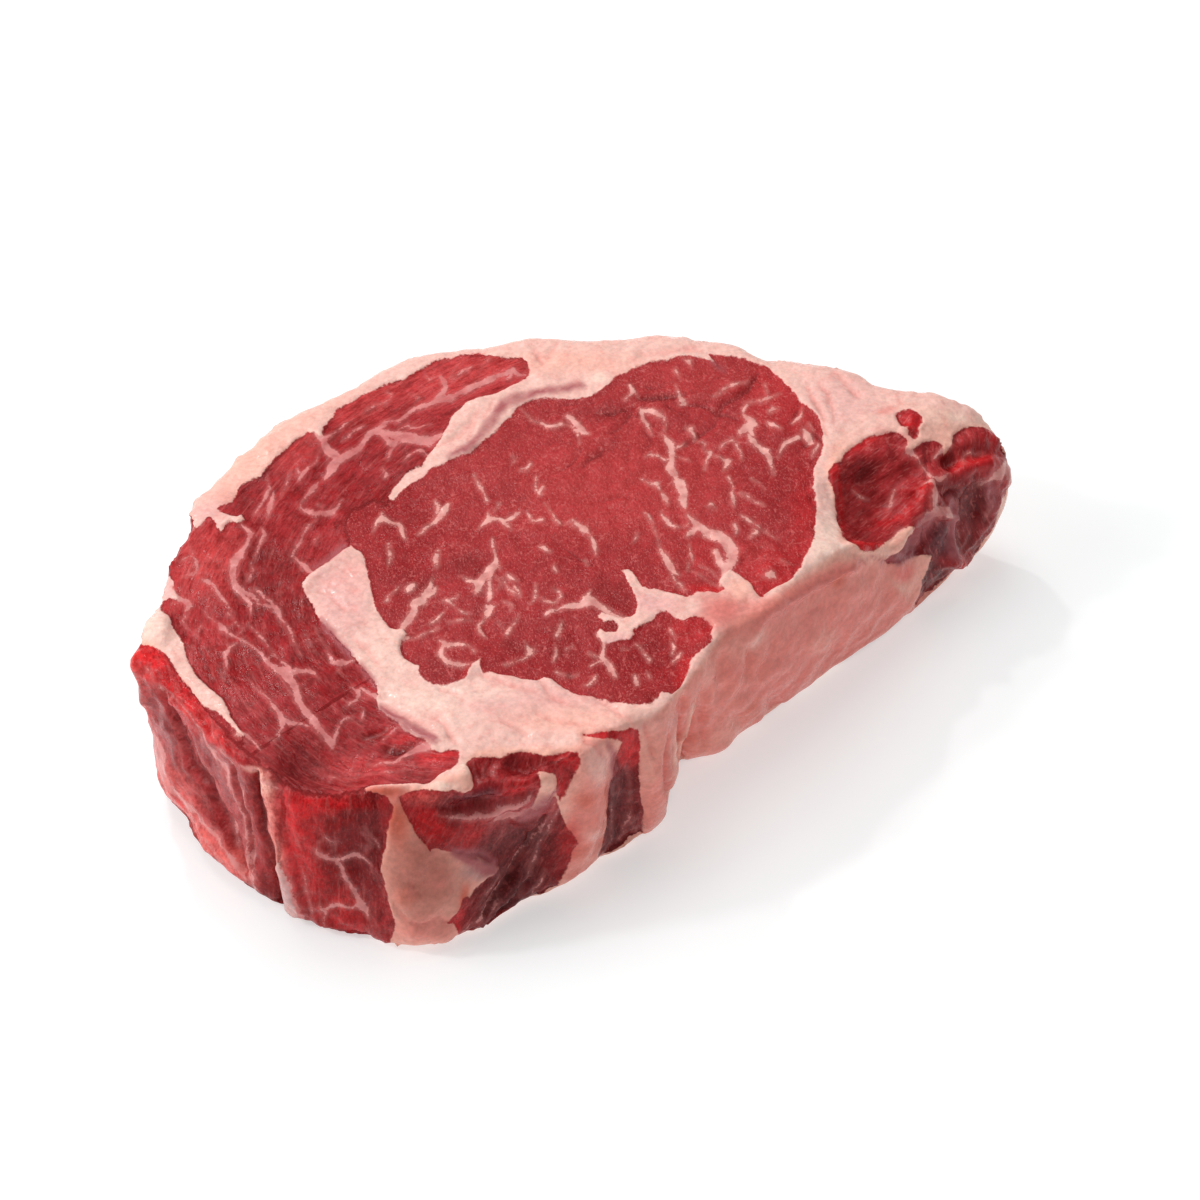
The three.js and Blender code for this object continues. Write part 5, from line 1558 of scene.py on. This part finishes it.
@dataclass
class Steak:
    """The one piece of meat."""

    node: str = "steak"
    name: str = "ribeye_steak"
    coarse: float = 1.7  # mm between vertices where the steak is hidden, and twice as fine where it shows
    fat_edge: float = 0.35  # mm from the edge of the fat where the skin is finest
    vein_edge: float = 0.22
    crease_edge: float = 0.2
    meaty: tuple[Lump, ...] = (Lump(0.30, 7.0), Lump(0.16, 3.0, 9), Lump(0.10, 1.6, 5))
    bundled: tuple[Lump, ...] = (Lump(0.20, 2.2), Lump(0.14, 1.3, 7))
    torn: tuple[Lump, ...] = (Lump(0.50, 2.6, 21), Lump(0.40, 1.5, 25))
    waxy: tuple[Lump, ...] = (Lump(0.45, 9.0, 3), Lump(0.30, 4.0, 4), Lump(0.14, 2.2, 8))
    ridged: tuple[Lump, ...] = (Lump(0.45, 3.0),)
    corded: tuple[Lump, ...] = (Lump(0.30, 1.6, 7),)
    fat_rise: float = 0.35  # mm that the fat stands above the lean
    fat_rise_at_side: float = 0.45
    vein_rise: float = 0.10
    face: CutFace = field(default_factory=CutFace)
    flank: Flank = field(default_factory=Flank)
    seen: tuple[SeenPatch, ...] = field(default_factory=lambda: (Front(), Tail()))
    sight: Sight = field(default_factory=Sight)
    finish: RawMeat = field(default_factory=RawMeat)
    sway: Noise = field(default_factory=lambda: Noise(5))
    lumps: Noise = field(default_factory=lambda: Noise(6))

    def block(self) -> Piece:
        """Copies the solid and makes its skin even, and finer on the upper face and the front.

        Returns:
            The copy.
        """
        only(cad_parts[self.node])
        bpy.ops.object.duplicate()
        piece = bpy.context.view_layer.objects.active
        piece.parent = None
        piece.name = self.name
        for key in list(piece.keys()):
            del piece[key]
        only(piece)
        bpy.ops.object.mode_set(mode="EDIT")
        bpy.ops.mesh.select_all(action="SELECT")
        bpy.ops.mesh.remove_doubles(threshold=1e-6)
        bpy.ops.object.mode_set(mode="OBJECT")
        add_modifier(piece, "REMESH", mode="VOXEL", voxel_size=self.coarse * MM, use_smooth_shade=True)
        add_modifier(piece, "SMOOTH", factor=0.5, iterations=4)
        mesh = piece.data
        normal = read_vectors(mesh.polygons, "normal")
        middle = read_vectors(mesh.polygons, "center") / MM
        shows = (normal[:, 2] > 0.25) | ((normal[:, 2] > -0.6) & (self.facing(middle, normal)))
        mesh.polygons.foreach_set("select", shows)
        mesh.update()
        bpy.ops.object.mode_set(mode="EDIT")
        bpy.ops.mesh.select_mode(type="FACE")
        bpy.ops.mesh.subdivide(number_cuts=1, smoothness=0)
        bpy.ops.object.mode_set(mode="OBJECT")
        add_modifier(piece, "SMOOTH", factor=0.5, iterations=1)
        self.refine(piece)
        return piece

    def refine(self, piece: Piece) -> None:
        """Makes the skin twice as fine again along the edges of the fat, the marbling and the creases.

        Args:
            piece: the steak.
        """
        mesh = piece.data
        place = read_vectors(mesh.vertices, "co") / MM + DRAWN_MIDDLE
        normal = read_vectors(mesh.vertices, "normal")
        pattern, _ = self.drawn(place, normal)
        near = (np.abs(pattern.fat) < self.fat_edge) | (pattern.fold > self.crease_edge)
        near |= (pattern.fat < 0) & (np.abs(pattern.vein) < self.vein_edge)
        near &= normal[:, 2] > -0.4
        corners = np.empty(len(mesh.loops), np.int32)
        mesh.loops.foreach_get("vertex_index", corners)
        starts = np.empty(len(mesh.polygons), np.int32)
        mesh.polygons.foreach_get("loop_start", starts)
        chosen = np.maximum.reduceat(near[corners].astype(np.int8), starts) > 0
        only(piece)
        bpy.ops.object.mode_set(mode="EDIT")
        bpy.ops.mesh.select_mode(type="FACE")
        bpy.ops.mesh.select_all(action="DESELECT")
        bpy.ops.object.mode_set(mode="OBJECT")
        mesh.polygons.foreach_set("select", chosen)
        mesh.update()
        bpy.ops.object.mode_set(mode="EDIT")
        bpy.ops.mesh.subdivide(number_cuts=1, smoothness=0)
        bpy.ops.object.mode_set(mode="OBJECT")

    @staticmethod
    def facing(middle: Array, normal: Array) -> Array:
        """Whether faces of the side look towards the left or the front."""
        return (normal[:, 0] * -0.6 + normal[:, 1] * -0.8 > -0.15) & (middle[:, 2] > 0.8)

    def model(self) -> Piece:
        """Builds the skin: its shape, then what each vertex shows.

        Returns:
            The steak.
        """
        piece = self.block()
        mesh = piece.data
        place = read_vectors(mesh.vertices, "co") / MM + DRAWN_MIDDLE
        normal = read_vectors(mesh.vertices, "normal")
        log.info("%s: %d vertices, %d faces", self.name, len(place), len(mesh.polygons))
        pattern, lifted = self.drawn(place, normal)
        moved = self.sculpt(place, normal, pattern)
        moved += normal * lifted[:, None]
        moved[:, 2] = np.maximum(moved[:, 2], 0.0)
        mesh.vertices.foreach_set("co", ((moved - DRAWN_MIDDLE) * MM).astype(np.float32).ravel())
        mesh.update()
        self.keep(mesh, pattern)
        mesh.materials.clear()
        mesh.materials.append(self.finish.make())
        only(piece)
        bpy.ops.object.shade_smooth()
        return piece

    @staticmethod
    def sides(normal: Array) -> tuple[Array, Array, Array]:
        """Sorts the skin by the way it faces.

        Args:
            normal: which way it faces at each vertex.

        Returns:
            The shares of the upper face, the underside and the side.
        """
        up = soft_step(normal[:, 2], 0.35, 0.8)
        down = soft_step(-normal[:, 2], 0.5, 0.9)
        return up, down, 1 - up - down

    def drawn(self, place: Array, normal: Array) -> tuple[Pattern, Array]:
        """Works out what the skin shows, and how far its drawn relief stands out.

        Args:
            place: where the vertices are, in mm in the drawing's frame.
            normal: which way the skin faces there.

        Returns:
            The pattern, and the relief in mm.
        """
        up, down, _ = self.sides(normal)
        u, v = self.sight.seen(place - DRAWN_MIDDLE)
        faced = self.sight.faced(place - DRAWN_MIDDLE, normal)
        through = place - DRAWN_MIDDLE  # the underside shows the upper face's muscles
        through[:, 2] = THICKNESS
        below = self.sight.seen(through)
        pattern = self.flank.read(place[:, :2], place[:, 2])
        pattern = pattern.laid(up, lambda r: self.face.laid_open(u[r], v[r], place[r, :2]))
        pattern = pattern.laid(down, lambda r: self.face.laid_open(below[0][r], below[1][r], place[r, :2]))
        lifted = up * self.face.lift(u, v)
        for patch in self.seen:
            share = patch.share(u, v, faced)
            pattern = pattern.laid(share, lambda r: patch.read(u[r], v[r]))
            lifted = lifted * (1 - share) + share * patch.lift(u, v)
        return pattern, lifted

    def relief(self, place: Array, layers: tuple[Lump, ...]) -> Array:
        """How far out layers of lumps stand at each place."""
        return sum(lump.height * self.lumps.at(place + lump.start, lump.size) for lump in layers)

    def sculpt(self, place: Array, normal: Array, pattern: Pattern) -> Array:
        """Moves the skin's vertices.

        Args:
            place: where they are, in mm in the drawing's frame.
            normal: which way the skin faces there.
            pattern: what the skin shows.

        Returns:
            Where they go.
        """
        up, down, side = self.sides(normal)
        fat = soft_step(pattern.fat, -0.5, 0.5)
        lean = 1 - fat
        vein = soft_step(pattern.vein, -0.5, 0.3)
        fold = soft_step(pattern.fold, -0.9, 0.4)
        stretched = pattern.fibre * (0.3, 1.0, 1.0)
        grain, bundles = self.relief(place, self.meaty), self.relief(stretched, self.bundled)
        torn, waxy = self.relief(place, self.torn), self.relief(place, self.waxy)
        upper = lean * (grain + bundles + torn * pattern.crag) + fat * (waxy + self.fat_rise - 0.5 * fold)
        upper += self.vein_rise * vein
        ridges = self.relief(stretched * (0.6, 1.0, 1.0), self.ridged) + self.relief(stretched, self.corded)
        flank = lean * (ridges + 0.5 * grain + torn * pattern.crag)
        flank += fat * (1.4 * waxy + self.fat_rise_at_side - 0.7 * fold)
        rise = up * upper + side * flank + down * 0.2 * waxy
        ragged = 4 * up * (1 - up) * 0.5 * self.sway.layered(place, 4.0)
        return place + normal * (rise + ragged)[:, None]

    def keep(self, mesh: bpy.types.Mesh, pattern: Pattern) -> None:
        """Writes the pattern into the mesh for the material to read.

        Args:
            mesh: the steak's mesh.
            pattern: what its vertices show.
        """
        for name in ("fat", "vein", "fold", "silver", "streaks", "wet"):
            layer = mesh.attributes.new(name, "FLOAT", "POINT")
            layer.data.foreach_set("value", getattr(pattern, name).astype(np.float32))
        for name in ("lean_tint", "fat_tint"):
            layer = mesh.attributes.new(name, "FLOAT_COLOR", "POINT")
            rows = np.column_stack([getattr(pattern, name), np.ones(len(pattern.fat))])
            layer.data.foreach_set("color", rows.astype(np.float32).ravel())
        layer = mesh.attributes.new("fibre", "FLOAT_VECTOR", "POINT")
        layer.data.foreach_set("vector", pattern.fibre.astype(np.float32).ravel())

    def serve(self) -> Piece:
        """Builds the steak and ties it to its solid.

        Returns:
            The steak.
        """
        piece = self.model()
        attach(piece, "root")
        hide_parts(self.node)
        return piece


@dataclass(frozen=True)
class Lamp:
    """A square light that faces the steak: where it stands and its size in metres, and its watts."""

    name: str
    spot: tuple[float, float, float]
    size: float
    power: float

    def hang(self) -> None:
        """Adds the light."""
        bpy.ops.object.light_add(type="AREA", location=self.spot)
        lamp = bpy.context.view_layer.objects.active
        lamp.name = self.name
        lamp.data.size = self.size
        lamp.data.energy = self.power
        lamp.rotation_euler = (Vector((0, 0, 0.02)) - Vector(self.spot)).to_track_quat("-Z", "Y").to_euler()


@dataclass
class Studio:
    """A pale floor, soft lights and the camera."""

    floor_size: float = 6.0
    floor_sink: float = 0.00005  # m under the steak
    floor_tint: tuple[float, float, float] = (0.58, 0.60, 0.60)
    floor_glow: float = 0.50
    sky: float = 0.30
    lamps: tuple[Lamp, ...] = (
        Lamp("left softbox", (-0.85, 0.65, 0.75), 0.7, 6.0),
        Lamp("left lamp", (-0.80, 0.62, 0.80), 0.10, 3.2),
        Lamp("back lamp", (0.22, 0.75, 0.90), 0.06, 2.2),
        Lamp("top softbox", (0.15, 0.35, 1.3), 0.8, 6.9),
    )
    sight: Sight = field(default_factory=Sight)

    def floor(self) -> Piece:
        """Lays a plain pale floor.

        Returns:
            The floor.
        """
        bpy.ops.object.select_all(action="DESELECT")
        bpy.ops.mesh.primitive_plane_add(size=self.floor_size, location=(0, 0, -self.floor_sink))
        floor = bpy.context.view_layer.objects.active
        floor.name = "floor"
        material = bpy.data.materials.new("pale floor")
        material.use_nodes = True
        surface = material.node_tree.nodes["Principled BSDF"]
        surface.inputs["Base Color"].default_value = (*self.floor_tint, 1)
        surface.inputs["Roughness"].default_value = 0.9
        surface.inputs["Specular IOR Level"].default_value = 0.0
        surface.inputs["Emission Color"].default_value = (1, 1, 1, 1)
        surface.inputs["Emission Strength"].default_value = self.floor_glow
        floor.data.materials.append(material)
        return floor

    def camera(self) -> None:
        """The camera, where the photograph was taken from."""
        spot = Vector(self.sight.eye) * MM
        bpy.ops.object.camera_add(location=spot)
        camera = bpy.context.view_layer.objects.active
        camera.rotation_euler = (Vector(self.sight.aim) * MM - spot).to_track_quat("-Z", "Y").to_euler()
        camera.data.lens = self.sight.lens
        camera.data.sensor_width = self.sight.sensor
        camera.data.clip_start = 0.01
        bpy.context.scene.camera = camera

    def build(self) -> None:
        """Sets everything up."""
        self.camera()
        self.floor()
        world = bpy.data.worlds.new("studio")
        world.use_nodes = True
        sky = world.node_tree.nodes["Background"]
        sky.inputs["Color"].default_value = (1, 1, 1, 1)
        sky.inputs["Strength"].default_value = self.sky
        bpy.context.scene.world = world
        for lamp in self.lamps:
            lamp.hang()
        view = bpy.context.scene.view_settings
        view.view_transform = "Standard"
        view.look = "None"
        view.exposure = 0.0
        view.gamma = 1.0


def main() -> None:
    """Builds the studio and the steak, and reports them."""
    logging.basicConfig(level=logging.INFO, format="%(name)s: %(message)s")
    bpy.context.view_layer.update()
    Studio().build()
    piece = Steak().serve()
    log.info("%s: %d polygons", piece.name, len(piece.data.polygons))


if __name__ == "__main__":
    main()
